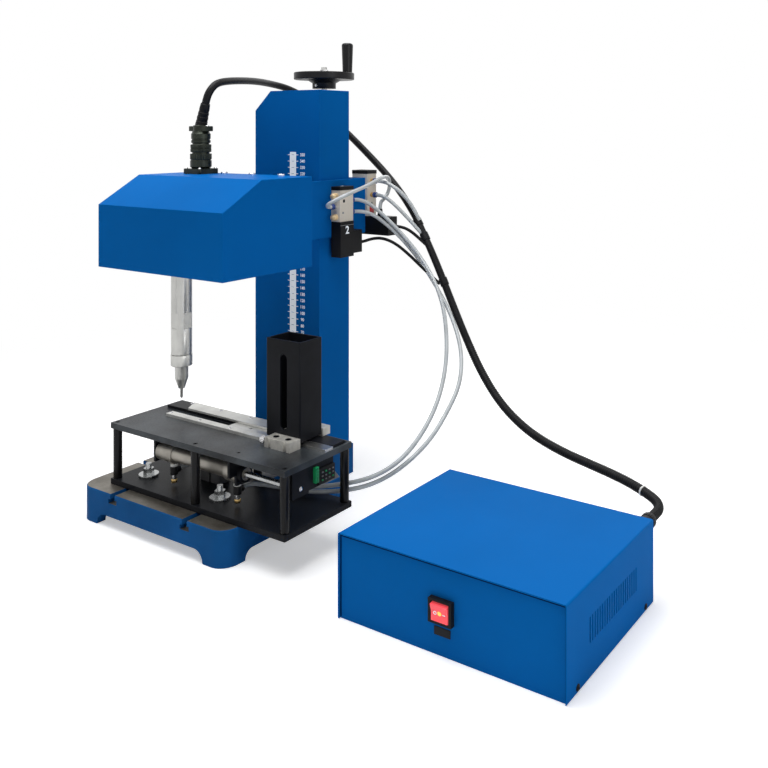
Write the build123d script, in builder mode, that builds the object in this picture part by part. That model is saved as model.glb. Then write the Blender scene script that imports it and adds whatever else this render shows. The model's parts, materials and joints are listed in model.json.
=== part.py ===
from build123d import *
import math
import os

# A bench marking machine for metal nameplates, with its control box.
# Places are given in the column's own frame: x to the right of the column's middle, y behind the
# column's front face, z above the floor. Two offsets then put the origin under the middle of the
# whole machine. All lengths are millimetres and all angles degrees.

# Clearances and overrun
running_gap = 0.1
sliding_gap = 0.3
seat_gap = 0.05
overrun = 1.0

# Base casting
base_width = 300
base_front = -262
base_side_end = -42
base_height = 48
base_corner_radius = 24
base_wall = 14
base_deck = 22
base_edge = 1.2
base_rib = 14
seat_half_width = 72
seat_front = 8
seat_back = 78
front_arch_width = 220
front_arch_height = 16
side_arch_middle = -148
side_arch_length = 156
side_arch_height = 13
arch_round_share = 0.99

# T-slots in the base
slot_neck_width = 10
slot_neck_depth = 7
slot_foot_width = 18
slot_foot_height = 6
slot_offset = 75
long_slot_length = 202
cross_slot_y = -160

# Column
column_width = 140
column_depth = 70
column_height = 572
column_wall = 6
column_chamfer_width = 34
column_chamfer_height = 31

# Rails and lead screw behind the column
rail_offset = 45
rail_width = 20
rail_depth = 17
rail_foot = 128
rail_head_gap = 24
rail_waist = 2.5
rail_waist_share = 0.5
rail_block_width = 44
rail_block_height = 76
rail_block_stand = 4.5
guide_stack = 29
screw_stand = 18
screw_radius = 7
journal_radius = 5
bearing_width = 44
bearing_depth = 34
bearing_height = 20
lower_bearing_foot = 102
lower_bearing_height = 16
nut_width = 40
nut_height = 44
nut_stand = 8

# Handwheel and crank handle
hub_radius = 19.5
hub_lift = 6
hub_height = 9
wheel_radius = 50
wheel_cone_radius = 29
wheel_cone_height = 6
wheel_rim_height = 12
wheel_rim_width = 8
wheel_web = 5
wheel_boss_radius = 14
wheel_fillet = 1.5
end_nut_across = 12
end_nut_height = 5
end_stub = 4
crank_radius = 39
crank_angle = 32.5
crank_pin_radius = 4
crank_height = 49.5
crank_top_radius = 9.5
crank_foot_radius = 8
crank_roof = 8
crank_lift = 0.5
crank_fillet = 4

# Carriage bracket round the column
carriage_rest = 388
bracket_gap = 1
bracket_wall = 5
bracket_height = 90
bracket_reach = 80

# Head hood
hood_width = 260
hood_depth = 166
hood_roof_depth = 98
hood_height = 130
hood_front_height = 90
hood_drop = 28
hood_sheet = 2
hood_screw_inset = 15
hood_screw_pitch = 60
hood_screw_middle = 23
hood_screw_radius = 5
hood_screw_height = 3
hood_screw_top_share = 0.6

# Stage frame inside the hood
stage_plate = 5
stage_width = 236
stage_plate_lift = 16
stage_cheek_lift = 45
stage_cheek_height = 40
stage_cheek_depth = 151
stage_tail_depth = 63
stage_tail_height = 73
stage_flange = 8
stage_flange_depth = 11.8
x_rod_radius = 5
x_rod_lift = 64
x_rod_stand = 15
x_rod_spacing = 128

# Gantry that slides from left to right, and the stylus holder that slides on it
gantry_width = 60
gantry_depth = 20
gantry_height = 24
y_rod_radius = 4
y_rod_spacing = 44
y_rod_seat = 3.5
holder_depth = 36
holder_drop = 16
holder_rise = 12
holder_roof = 8
lug_width = 16
lug_depth = 14
lug_height = 19
front_lug_depth = 8
front_lug_height = 18
y_screw_radius = 2.5
y_screw_lift = 26
y_screw_seat = 4
y_motor_size = 28
y_motor_overhang = 6
motor_corner = 3
x_screw_radius = 4
x_screw_lift = 37
x_screw_stand = 46
x_screw_seat = 3
x_motor_size = 28
x_arm_width = 12
x_arm_offset = 16
x_arm_lift = 1.5
x_arm_thickness = 4
x_arm_half = 8
x_arm_top = 8

# Stylus
stylus_x = -60
stylus_setback = 54
stylus_radius = 15
mark_gap = 23
stylus_flat_lift = 39.5
stylus_flat_height = 23
stylus_flat_depth = 1.7
stylus_edge = 1
nose_collar_radius = 15.5
nose_collar_height = 16.5
nose_shoulder_radius = 9.6
nose_shoulder_height = 18.5
nose_taper = 15.5
nose_tip_radius = 4.6
nose_edge = 0.8
nose_chamber_radius = 6
nose_chamber_depth = 28.5
pin_radius = 2
pin_stand = 15
pin_cone = 2.5
pin_point_radius = 1
pin_head_height = 10
pin_head_gap = 2.5
spring_inner_radius = 3
spring_outer_radius = 5.5

# Round connector that stands on the hood
plug_x = -72
plug_inset = 30
flange_size = 38
flange_thickness = 8
flange_corner = 4
receptacle_radius = 10.5
receptacle_drop = 12
plug_body_radius = 16
plug_body_height = 25
plug_body_foot = 3
plug_ring_radius = 15.5
plug_ring_height = 14
plug_groove = 2
plug_back_radius = 14.5
plug_back_height = 18
plug_clamp_width = 38
plug_clamp_depth = 15
plug_clamp_height = 8
boot_radius = 9
boot_length = 36
boot_lean = 17

# Work table
table_left = -113
table_width = 345
table_front = -238
table_depth = 126
table_plate = 8
table_space = 72
table_edge = 0.6
post_radius = 6
post_inset = 7
middle_post_x = 60
plate_screw_radius = 3.5
plate_screw_depth = 3
track_slot_left = 2
track_slot_length = 223.5
track_slot_width = 12
foot_bolt_radius = 2.5

# Guides and shuttle on the table
shuttle_left = 49.5
shuttle_length = 181.5
shuttle_width = 15
shuttle_thickness = 3.8
shuttle_side_gap = 0.5
shuttle_pocket_depth = 1.2
shuttle_hole_inset = 36.5
shuttle_hole_radius = 2.2
guide_bar_left = -102
guide_bar_length = 330
guide_bar_depth = 26
guide_thickness = 4
back_strip_left = -69
back_strip_slant = 15
back_strip_depth = 24
back_strip_lip = 1
back_strip_thickness = 3
front_strip_left = -70
front_strip_depth = 12
strip_screw_left = -66
strip_screw_pitch = 62.5
strip_screw_radius = 2.6
strip_screw_depth = 1.5
back_screw_inset = 6
front_screw_inset = 6

# Magazine tower and its clamps
tower_left = 130
tower_width = 62
tower_front = -170
tower_depth = 43
tower_lift = 3.3
tower_height = 132.2
tower_wall = 3
tower_corner = 2
tower_slot_left = 26
tower_slot_width = 12.5
tower_slot_lift = 12
tower_slot_height = 101
clamp_left = 147
clamp_width = 46
front_clamp_depth = 20
front_clamp_height = 13
rear_clamp_depth = 15
rear_clamp_height = 11
clamp_notch_radius = 2.5
clamp_notch_inset = 9
clamp_screw_radius = 3.4
clamp_screw_inset = 12
clamp_screw_sink = 4
thumb_radius = 3
thumb_length = 3
thumb_knurl_radius = 4.5
thumb_knurl = 5
thumb_lift = 7

# Feed cylinder under the table top
cylinder_inset = 33
cylinder_hang = 27
cylinder_left = -40.5
cylinder_radius = 11
cylinder_bore = 10
rear_cap_length = 32.1
barrel_length = 105.7
front_cap_length = 22.3
cap_radius = 13.5
cap_edge = 1.5
neck_radius = 8
neck_length = 10
rod_radius = 4
piston_length = 10
piston_rest = 92.4
foot_thickness = 4
foot_half_width = 12
foot_nut_radius = 11
foot_flange_reach = 26
foot_bolt_inset = 15
foot_bolt_setback = 12

# Speed controllers that hang under the cylinder's caps
controller_inset = 7
controller_ring_radius = 5
controller_ring = 4
controller_body_radius = 5.5
controller_body = 12
controller_knob_radius = 4.2
controller_knob = 11
controller_port_radius = 4.5
controller_port_length = 9

# Drive bracket, end stop and terminal bracket
drive_thickness = 5
drive_width = 63
drive_top_gap = 1
drive_height = 34
drive_rest = 218.5
key_gap = 0.5
stop_left = 0
stop_width = 40
stop_front = -172
stop_depth = 19
stop_height = 22
stop_groove = 3
skirt_left = 224
skirt_thickness = 6
skirt_front = -223
skirt_depth = 76
skirt_drop = 34
skirt_step = -193
skirt_step_rise = 4
skirt_screw_y = -209
skirt_screw_drop = 23.5
skirt_screw_radius = 3
skirt_screw_stand = 2
terminal_front = -185.5
terminal_width = 6
terminal_top = 4
terminal_height = 20
terminal_stand = 5
socket_gap = 1
socket_width = 31
socket_drop = 9
socket_height = 20

# Hold-down bolts
hold_y = -202
hold_slot_width = 11
hold_slot_length = 26
hold_washer_radius = 14
hold_washer = 3
hold_nut_across = 13
hold_nut_height = 8
hold_bolt_radius = 4
hold_bolt_stand = 7
hold_head_width = 16
hold_head_height = 5

# Front valve on the carriage's right side plate
front_valve_y = 21
front_valve_depth = 31
valve_width = 18
front_valve_lift = 25
front_valve_height = 49
valve_cap = 6
valve_cap_overhang = 0.6
front_coil_height = 56
front_coil_overhang = 1.5
coil_plug_depth = 22
coil_plug_lift = 4
coil_plug_height = 36
silencer_radius = 4.5
silencer_length = 9
silencer_high = 40
silencer_low = 7
supply_height = 24
output_high = 32
output_low = 13
fitting_radius = 4
fitting_length = 5
collar_radius = 3.4
collar_length = 4
override_radius = 1.6
override_stand = 0.8
override_depth = 4
front_override_depth = 7
front_override_height = 14

# Rear valve on the carriage's back plate
rear_valve_left = 48
rear_valve_width = 32
rear_valve_depth = 23
rear_valve_lift = 27
rear_valve_height = 69
rear_coil_width = 76
rear_coil_height = 30
rear_fitting_high = 57.5
rear_fitting_low = 34.5
rear_override_height = 21
grommet_inset = 26
grommet_radius = 4.5
grommet_height = 12
wire_boss_radius = 4
wire_boss_length = 4

# Control box
box_left = 342
box_width = 292
box_front = -265
box_depth = 225
box_height = 98
box_sheet = 1.5
box_bend = 2
panel_recess = 3
box_screw_radius = 3
box_screw_stand = 1.5
box_screw_lift = 6
box_screw_inset = 24
rail_edge = 12
louvre_pitch = 6
louvre_width = 2.2
louvre_start = 50
louvre_run = 125
louvre_lift = 36
louvre_height = 27
bezel_left = 128.5
bezel_width = 30
bezel_lift = 36
bezel_height = 26
bezel_stand = 3
bezel_depth = 14
bezel_side_wall = 2.2
bezel_end_wall = 1.2
rocker_side_gap = 0.5
rocker_end_gap = 1.2
rocker_tilt = 7
rocker_rise = 1.5
rocker_depth = 6
board_left = 18
board_width = 200
board_front = 60
board_depth = 130
board_thickness = 1.6
board_lift = 8
standoff_radius = 3.5
standoff_inset = 8
gland_inset = 14
gland_drop = 12
gland_nut_radius = 10
gland_nut = 8
gland_body_radius = 8.5
gland_body = 10
gland_cap_radius = 9.5
gland_cap = 10

# Cords: diameters, and each route as points chosen along it in the column's frame
cable_diameter = 12
tube_diameter = 6
wire_diameter = 5
bend_share = 0.45
cable_exit = 12
head_cable_route = [
    (-55.6, -103.7, 620.8),
    (-56.3, -92.6, 629.2), (-62.2, -67.7, 633.8), (-76, -20, 637), (-91, 26, 638),
    (-106, 72, 636), (-106, 106, 631), (-104, 131, 623), (-93, 148, 612), (-72, 159, 595),
    (-36, 164, 567), (26, 161, 522), (90, 152, 476), (143, 142, 428), (185, 132, 371),
    (216, 124, 324), (245, 116, 278), (275, 108, 232), (307, 101, 187), (347, 93, 148),
    (398, 84, 121), (455, 74, 108), (506, 64, 103), (553, 53, 99), (587, 44, 93),
    (611, 32, 89), (620, 16, 86.5), (620, 0, 86), (620, -15, 86),
]
feed_tube_high_route = [
    (85, 61, 445), (85, 79, 445), (104, 92, 433), (139.5, 101.5, 402), (172, 114, 365),
    (215, 103, 325), (245, 88, 284), (266, 66, 239), (279, 42, 201), (287, 12, 166),
    (288, -24, 134), (281, -64, 106), (257, -93, 87), (217, -110, 74), (157, -127, 62),
    (90, -134, 60), (30, -137, 60), (-2, -146, 64), (-13.5, -165, 71), (-15.4, -182, 77.5),
    (-15.4, -196, 77.5),
]
feed_tube_low_route = [
    (85, 61, 426), (85, 79, 426), (104, 92, 420), (140.5, 103.5, 392), (170, 122, 352),
    (211, 117, 309), (251, 103, 267), (285, 78, 224), (303, 46, 186), (303, 12, 154),
    (300, -26, 124), (281, -64, 95), (254, -93, 76), (216, -111.5, 65), (172, -134, 62),
    (138, -149, 66), (119, -166, 72), (112.6, -182, 77.5), (112.6, -196, 77.5),
]
link_tube_route = [
    (85, 12, 437), (85, 2, 437), (92, -6, 442), (105, 0, 450), (114, 21, 459), (113, 60, 467),
    (112, 96, 478), (107, 121, 481), (102, 136, 473), (99, 138.5, 460), (98, 134, 449),
    (98, 124, 441.5), (98, 115.5, 437), (98, 115.5, 427),
]
rear_tube_high_route = [
    (89, 115.5, 472.5), (103, 115.5, 472.5), (120, 117, 467), (138, 121, 454), (157, 126, 433),
    (172, 128, 411),
]
rear_tube_low_route = [
    (89, 115.5, 449.5), (102, 115.5, 449.5), (119, 118, 440), (136, 121, 425), (152, 121, 406),
    (166, 119, 387),
]
front_wire_route = [
    (85, 78, 375), (85, 89, 375), (93, 99, 379), (110, 105, 381), (132, 110, 374),
    (156, 114, 358), (180, 116, 335), (202, 115, 311),
]
rear_wire_route = [
    (128, 115.5, 400), (140, 115.5, 400), (153, 118, 396), (165, 120, 386), (173, 120, 374),
]

# Places worked out from the sizes above
box_right = box_left + box_width
machine_right = box_right + box_screw_stand
panel_front = box_front + panel_recess
bezel_front = box_front - bezel_stand
rocker_face = panel_front - bezel_front
rocker_half = bezel_height / 2 - bezel_end_wall - box_sheet - rocker_end_gap
rocker_lean = math.radians(rocker_tilt)
rocker_reach = (rocker_face + rocker_rise) * math.cos(rocker_lean) + rocker_half * math.sin(rocker_lean)
machine_front = panel_front - rocker_reach
screw_y = column_depth + screw_stand
machine_back = screw_y + wheel_radius
column_x = (base_width / 2 - machine_right) / 2
column_y = -(machine_front + machine_back) / 2
base_half = base_width / 2
column_half = column_width / 2
plate_low = base_height + table_plate
plate_high = plate_low + table_space
table_top = plate_high + table_plate
column_top = base_height + column_height
rail_bottom = base_height + rail_foot
rail_top = column_top - rail_head_gap
lower_bearing = base_height + lower_bearing_foot
hub_bottom = column_top + hub_lift
wheel_bottom = hub_bottom + hub_height + wheel_cone_height
wheel_top = wheel_bottom + wheel_rim_height
bracket_inner = column_half + bracket_gap
bracket_outer = bracket_inner + bracket_wall
bracket_front = -bracket_reach
bracket_back = column_depth + guide_stack
bracket_end = bracket_back + bracket_wall
bracket_top = carriage_rest + bracket_height
carriage_middle = carriage_rest + bracket_height / 2
hood_bottom = carriage_rest - hood_drop
hood_top = hood_bottom + hood_height
hood_front = bracket_front - hood_depth
hood_ceiling = hood_top - hood_sheet
stage_half = stage_width / 2
stage_back = bracket_front - hood_sheet
stage_face = stage_back - stage_plate
stage_front = stage_face - stage_cheek_depth
cheek_bottom = hood_bottom + stage_cheek_lift
x_rod_z = hood_bottom + x_rod_lift
back_rod_y = stage_face - x_rod_stand
front_rod_y = back_rod_y - x_rod_spacing
gantry_x = (stylus_x - gantry_width / 2, stylus_x + gantry_width / 2)
gantry_low = x_rod_z - gantry_height / 2
gantry_high = x_rod_z + gantry_height / 2
gantry_back = back_rod_y - gantry_depth / 2
gantry_front = front_rod_y + gantry_depth / 2
y_rod_y = (gantry_front - y_rod_seat, gantry_back + y_rod_seat)
y_rod_xs = (stylus_x - y_rod_spacing / 2, stylus_x + y_rod_spacing / 2)
y_screw_z = x_rod_z + y_screw_lift
x_screw_y = stage_face - x_screw_stand
x_screw_z = x_rod_z + x_screw_lift
stylus_y = back_rod_y - stylus_setback
holder_y = (stylus_y - holder_depth / 2, stylus_y + holder_depth / 2)
holder_low = x_rod_z - holder_drop
holder_high = x_rod_z + holder_rise
stylus_top = holder_high - holder_roof
nose_tip = table_top + mark_gap + pin_stand
nose_shoulder = nose_tip + nose_taper + nose_shoulder_height
stylus_bottom = nose_shoulder + nose_collar_height
chamber_floor = stylus_bottom - nose_chamber_depth
pin_head_top = stylus_bottom - pin_head_gap
pin_head_low = pin_head_top - pin_head_height
plug_y = stage_back + hood_sheet - plug_inset
table_x = (table_left, table_left + table_width)
table_y = (table_front, table_front + table_depth)
guide_top = table_top + guide_thickness
track_y = stylus_y
slot_y = (track_y - track_slot_width / 2, track_y + track_slot_width / 2)
shuttle_y = (track_y - shuttle_width / 2, track_y + shuttle_width / 2)
shuttle_x = (shuttle_left, shuttle_left + shuttle_length)
bar_front = shuttle_y[1] + shuttle_side_gap
strip_back = shuttle_y[0] - shuttle_side_gap
strip_top = guide_top + back_strip_thickness
tower_x = (tower_left, tower_left + tower_width)
tower_y = (tower_front, tower_front + tower_depth)
tower_z = (guide_top + tower_lift, guide_top + tower_lift + tower_height)
clamp_x = (clamp_left, clamp_left + clamp_width)
front_clamp_top = table_top + front_clamp_height
cylinder_y = table_front + cylinder_inset
cylinder_z = plate_high - cylinder_hang
barrel_left = cylinder_left + rear_cap_length
barrel_right = barrel_left + barrel_length
cylinder_right = barrel_right + front_cap_length
neck_right = cylinder_right + neck_length
piston_left = barrel_left + piston_rest
valve_x = (bracket_outer, bracket_outer + valve_width)
valve_middle = bracket_outer + valve_width / 2
front_valve_ys = (front_valve_y, front_valve_y + front_valve_depth)
front_valve_low = carriage_rest + front_valve_lift
front_valve_top = front_valve_low + front_valve_height
front_coil_low = front_valve_low - front_coil_height
rear_valve_x = (rear_valve_left, rear_valve_left + rear_valve_width)
rear_valve_ys = (bracket_end, bracket_end + rear_valve_depth)
rear_valve_low = carriage_rest + rear_valve_lift
rear_valve_top = rear_valve_low + rear_valve_height
rear_middle = bracket_end + rear_valve_depth / 2
rear_coil_right = rear_valve_left + rear_coil_width
box_back = box_front + box_depth
panel_back = box_back - panel_recess
box_inside = (box_left + box_sheet, box_right - box_sheet)
bezel_x = (box_left + bezel_left, box_left + bezel_left + bezel_width)
bezel_z = (bezel_lift, bezel_lift + bezel_height)
window_x = (bezel_x[0] + bezel_side_wall, bezel_x[1] - bezel_side_wall)
window_z = (bezel_z[0] + bezel_end_wall, bezel_z[1] - bezel_end_wall)
gland_x = box_right - gland_inset
gland_z = box_height - gland_drop


def level(z):
    """A level plane at height z."""
    return Plane(origin=(column_x, column_y, z))


def upright(y):
    """An upright plane that faces the front; its own y runs up."""
    return Plane(origin=(column_x, column_y + y, 0), x_dir=(1, 0, 0), z_dir=(0, -1, 0))


def sideways(x):
    """An upright plane that faces right; its own x runs back and its own y runs up."""
    return Plane(origin=(column_x + x, column_y, 0), x_dir=(0, 1, 0), z_dir=(1, 0, 0))


def block(x, y, z, corner=0, mode=Mode.ADD):
    """A block between pairs of places, with its upright edges rounded where a corner is given."""
    with BuildSketch(level(z[0])) as outline:
        with Locations(((x[0] + x[1]) / 2, (y[0] + y[1]) / 2)):
            if corner:
                RectangleRounded(x[1] - x[0], y[1] - y[0], corner)
            else:
                Rectangle(x[1] - x[0], y[1] - y[0])
    extrude(outline.sketch, amount=z[1] - z[0], mode=mode)


def pillar(x, y, z, radius, mode=Mode.ADD):
    """An upright round bar, or with Mode.SUBTRACT an upright hole."""
    with BuildSketch(level(z[0])) as outline:
        with Locations((x, y)):
            Circle(radius)
    extrude(outline.sketch, amount=z[1] - z[0], mode=mode)


def crossbar(x, y, z, radius, mode=Mode.ADD):
    """A round bar or hole from left to right."""
    with BuildSketch(sideways(x[0])) as outline:
        with Locations((y, z)):
            Circle(radius)
    extrude(outline.sketch, amount=x[1] - x[0], mode=mode)


def deepbar(x, y, z, radius, mode=Mode.ADD):
    """A round bar or hole from front to back."""
    with BuildSketch(upright(y[1])) as outline:
        with Locations((x, z)):
            Circle(radius)
    extrude(outline.sketch, amount=y[1] - y[0], mode=mode)


def side_profile(points, x, mode=Mode.ADD):
    """A plate or body with one outline, given as (y, z) points, between two places in x."""
    with BuildSketch(sideways(x[0])) as outline:
        with BuildLine():
            Polyline(*points, close=True)
        make_face()
    extrude(outline.sketch, amount=x[1] - x[0], mode=mode)


def turned(x, y, profile, mode=Mode.ADD):
    """A piece turned about an upright axis, its profile given as radius and height."""
    centre = (column_x + x, column_y + y, 0)
    with BuildSketch(Plane(origin=centre, x_dir=(1, 0, 0), z_dir=(0, -1, 0))) as outline:
        with BuildLine():
            Polyline(*profile, close=True)
        make_face()
    revolve(outline.sketch, axis=Axis(centre, (0, 0, 1)), mode=mode)


def nut(x, y, z, across):
    """A six-sided nut that stands upright between two heights."""
    with BuildSketch(level(z[0])) as outline:
        with Locations((x, y)):
            RegularPolygon(across / 2, 6, major_radius=False)
    extrude(outline.sketch, amount=z[1] - z[0])


# Base casting: a deck on side walls, hollow and ribbed underneath, on four corner feet
def base_plan(inset):
    """The base's plan, drawn in by an inset."""
    half = base_half - inset
    seat = seat_half_width - inset
    slant = (base_half - seat_half_width) / (seat_front - base_side_end)
    with BuildSketch(level(0)) as plan:
        with BuildLine():
            Polyline(
                (-half, base_front + inset), (half, base_front + inset),
                (half, base_side_end - inset / slant), (seat, seat_front - inset / slant),
                (seat, seat_back - inset), (-seat, seat_back - inset),
                (-seat, seat_front - inset / slant), (-half, base_side_end - inset / slant),
                close=True,
            )
        make_face()
        fillet(plan.vertices().group_by(Axis.Y)[0], base_corner_radius - inset)
    return plan.sketch


def t_slot(plane, middle, length):
    """Cuts a T-slot that runs along a plane's normal."""
    foot_z = base_height - slot_neck_depth - slot_foot_height / 2
    with BuildSketch(plane) as section:
        with Locations((middle, base_height - slot_neck_depth / 2)):
            Rectangle(slot_neck_width, slot_neck_depth)
        with Locations((middle, foot_z)):
            Rectangle(slot_foot_width, slot_foot_height)
    extrude(section.sketch, amount=length, mode=Mode.SUBTRACT)


with BuildPart() as base_casting:
    extrude(base_plan(0), amount=base_height)
    chamfer(base_casting.faces().sort_by(Axis.Z)[-1].edges(), base_edge)
    extrude(base_plan(base_wall), amount=base_height - base_deck, mode=Mode.SUBTRACT)
    for slot_x in (-slot_offset, slot_offset):
        block(
            (slot_x - base_rib / 2, slot_x + base_rib / 2), (base_front, base_side_end),
            (front_arch_height, base_height - base_deck),
        )
    with BuildSketch(upright(base_front)) as front_arch:
        RectangleRounded(front_arch_width, 2 * front_arch_height, front_arch_height * arch_round_share)
    extrude(front_arch.sketch, amount=-base_wall, mode=Mode.SUBTRACT)
    with BuildSketch(sideways(-base_half)) as side_arch:
        with Locations((side_arch_middle, 0)):
            RectangleRounded(side_arch_length, 2 * side_arch_height, side_arch_height * arch_round_share)
    extrude(side_arch.sketch, amount=base_width, mode=Mode.SUBTRACT)
    for slot_x in (-slot_offset, slot_offset):
        t_slot(upright(base_front + long_slot_length), slot_x, long_slot_length)
    t_slot(sideways(-base_half), cross_slot_y, base_width)

# Column: a welded box with one cut top corner, open at its foot
with BuildPart() as column:
    with BuildSketch(upright(0)) as column_face:
        with BuildLine():
            Polyline(
                (-column_half, base_height), (column_half, base_height), (column_half, column_top),
                (-column_half + column_chamfer_width, column_top),
                (-column_half, column_top - column_chamfer_height), close=True,
            )
        make_face()
    extrude(column_face.sketch, amount=-column_depth)
    inner_half = column_half - column_wall
    ceiling = column_top - column_wall
    with BuildSketch(upright(column_wall)) as column_inside:
        with BuildLine():
            Polyline(
                (-inner_half, base_height), (inner_half, base_height), (inner_half, ceiling),
                (-column_half + column_chamfer_width, ceiling),
                (-inner_half, ceiling - column_chamfer_height), close=True,
            )
        make_face()
    extrude(column_inside.sketch, amount=2 * column_wall - column_depth, mode=Mode.SUBTRACT)

# Rails with waisted sides, and the bearings of the lead screw, on the column's back
with BuildPart() as linear_rails:
    for side in (-1, 1):
        middle = side * rail_offset
        rail_half = rail_width / 2
        waist_y = column_depth + rail_depth * rail_waist_share
        with BuildSketch(level(rail_bottom)) as rail_section:
            with BuildLine():
                Polyline(
                    (middle - rail_half, column_depth), (middle + rail_half, column_depth),
                    (middle + rail_half, waist_y - rail_waist), (middle + rail_half - rail_waist, waist_y),
                    (middle + rail_half, waist_y + rail_waist),
                    (middle + rail_half, column_depth + rail_depth),
                    (middle - rail_half, column_depth + rail_depth),
                    (middle - rail_half, waist_y + rail_waist), (middle - rail_half + rail_waist, waist_y),
                    (middle - rail_half, waist_y - rail_waist), close=True,
                )
            make_face()
        extrude(rail_section.sketch, amount=rail_top - rail_bottom)

upper_bearing = column_top - bearing_height
with BuildPart() as screw_bearings:
    for low, high in ((lower_bearing, lower_bearing + lower_bearing_height), (upper_bearing, column_top)):
        block((-bearing_width / 2, bearing_width / 2), (column_depth, column_depth + bearing_depth),
              (low, high))
        pillar(0, screw_y, (low, high), journal_radius + running_gap, Mode.SUBTRACT)

# Carriage: a sleeve of plate round the column, with bearing blocks and a nut on its back plate
bracket_z = (carriage_rest, bracket_top)
with BuildPart() as carriage_bracket:
    block((-bracket_outer, bracket_outer), (bracket_front, bracket_end), bracket_z)
    block((-bracket_inner, bracket_inner), (bracket_front + bracket_wall, bracket_back), bracket_z,
          mode=Mode.SUBTRACT)

block_z = (carriage_middle - rail_block_height / 2, carriage_middle + rail_block_height / 2)
with BuildPart() as rail_blocks:
    for middle in (-rail_offset, rail_offset):
        channel_half = rail_width / 2 + sliding_gap
        block((middle - rail_block_width / 2, middle + rail_block_width / 2),
              (column_depth + rail_block_stand, bracket_back), block_z)
        block((middle - channel_half, middle + channel_half),
              (column_depth, column_depth + rail_depth + sliding_gap), block_z, mode=Mode.SUBTRACT)

nut_z = (carriage_middle - nut_height / 2, carriage_middle + nut_height / 2)
with BuildPart() as lead_nut:
    block((-nut_width / 2, nut_width / 2), (column_depth + nut_stand, bracket_back), nut_z)
    pillar(0, screw_y, nut_z, screw_radius + running_gap, Mode.SUBTRACT)

# Lead screw with a journal at each end and the nut that holds the handwheel
screw_low = lower_bearing + lower_bearing_height + sliding_gap
screw_high = upper_bearing - sliding_gap
nut_top = wheel_top + end_nut_height
with BuildPart() as lead_screw:
    turned(0, screw_y, [
        (0, lower_bearing), (journal_radius, lower_bearing), (journal_radius, screw_low),
        (screw_radius, screw_low), (screw_radius, screw_high), (journal_radius, screw_high),
        (journal_radius, nut_top + end_stub), (0, nut_top + end_stub),
    ])
    nut(0, screw_y, (wheel_top, nut_top), end_nut_across)

# Dished handwheel with its hub and the pin of its crank handle
crank_x = crank_radius * math.cos(math.radians(crank_angle))
crank_y = screw_y + crank_radius * math.sin(math.radians(crank_angle))
crank_low = wheel_top + crank_lift
crank_top = wheel_top + crank_height
with BuildPart() as handwheel:
    bore = journal_radius + seat_gap
    rim_inner = wheel_radius - wheel_rim_width
    web_top = wheel_bottom + wheel_web
    turned(0, screw_y, [
        (bore, hub_bottom), (hub_radius, hub_bottom), (hub_radius, hub_bottom + hub_height),
        (wheel_cone_radius, wheel_bottom), (wheel_radius, wheel_bottom), (wheel_radius, wheel_top),
        (rim_inner, wheel_top), (rim_inner, web_top), (wheel_boss_radius, web_top),
        (wheel_boss_radius, wheel_top), (bore, wheel_top),
    ])
    outer_edges = handwheel.edges().filter_by(GeomType.CIRCLE).group_by(SortBy.RADIUS)[-1]
    fillet(outer_edges, wheel_fillet)
    pillar(crank_x, crank_y, (web_top, crank_top - crank_roof), crank_pin_radius)

with BuildPart() as crank_handle:
    bore = crank_pin_radius + running_gap
    bore_top = crank_top - crank_roof + running_gap
    shoulder = crank_top - crank_fillet
    crank_centre = (column_x + crank_x, column_y + crank_y, 0)
    with BuildSketch(Plane(origin=crank_centre, x_dir=(1, 0, 0), z_dir=(0, -1, 0))) as grip:
        with BuildLine():
            Polyline((bore, crank_low), (crank_foot_radius, crank_low), (crank_top_radius, shoulder))
            RadiusArc((crank_top_radius, shoulder), (crank_top_radius - crank_fillet, crank_top),
                      -crank_fillet)
            Polyline((crank_top_radius - crank_fillet, crank_top), (0, crank_top), (0, bore_top),
                     (bore, bore_top), (bore, crank_low))
        make_face()
    revolve(grip.sketch, axis=Axis(crank_centre, (0, 0, 1)))

# Head hood: folded sheet, open underneath, with a sloping front
slope_low = hood_bottom + hood_front_height
slope_back = bracket_front - hood_roof_depth
with BuildPart() as head_hood:
    side_profile(
        [(hood_front, hood_bottom), (hood_front, slope_low), (slope_back, hood_top),
         (bracket_front, hood_top), (bracket_front, hood_bottom)],
        (-hood_width / 2, hood_width / 2),
    )
    slope_angle = math.atan2(hood_top - slope_low, slope_back - hood_front)
    low_shift = hood_sheet * math.tan(slope_angle / 2)
    high_shift = hood_sheet * math.tan(slope_angle / 2)
    inner_front = hood_front + hood_sheet
    side_profile(
        [(inner_front, hood_bottom), (inner_front, slope_low - low_shift),
         (slope_back + high_shift, hood_ceiling), (stage_back, hood_ceiling), (stage_back, hood_bottom)],
        (-hood_width / 2 + hood_sheet, hood_width / 2 - hood_sheet), Mode.SUBTRACT,
    )
    pillar(plug_x, plug_y, (hood_ceiling, hood_top), receptacle_radius + seat_gap, Mode.SUBTRACT)

with BuildPart() as head_screws:
    for step in (-1, 0, 1):
        turned(hood_screw_middle + step * hood_screw_pitch, bracket_front - hood_screw_inset, [
            (0, hood_top), (hood_screw_radius, hood_top),
            (hood_screw_radius * hood_screw_top_share, hood_top + hood_screw_height),
            (0, hood_top + hood_screw_height),
        ])

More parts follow.
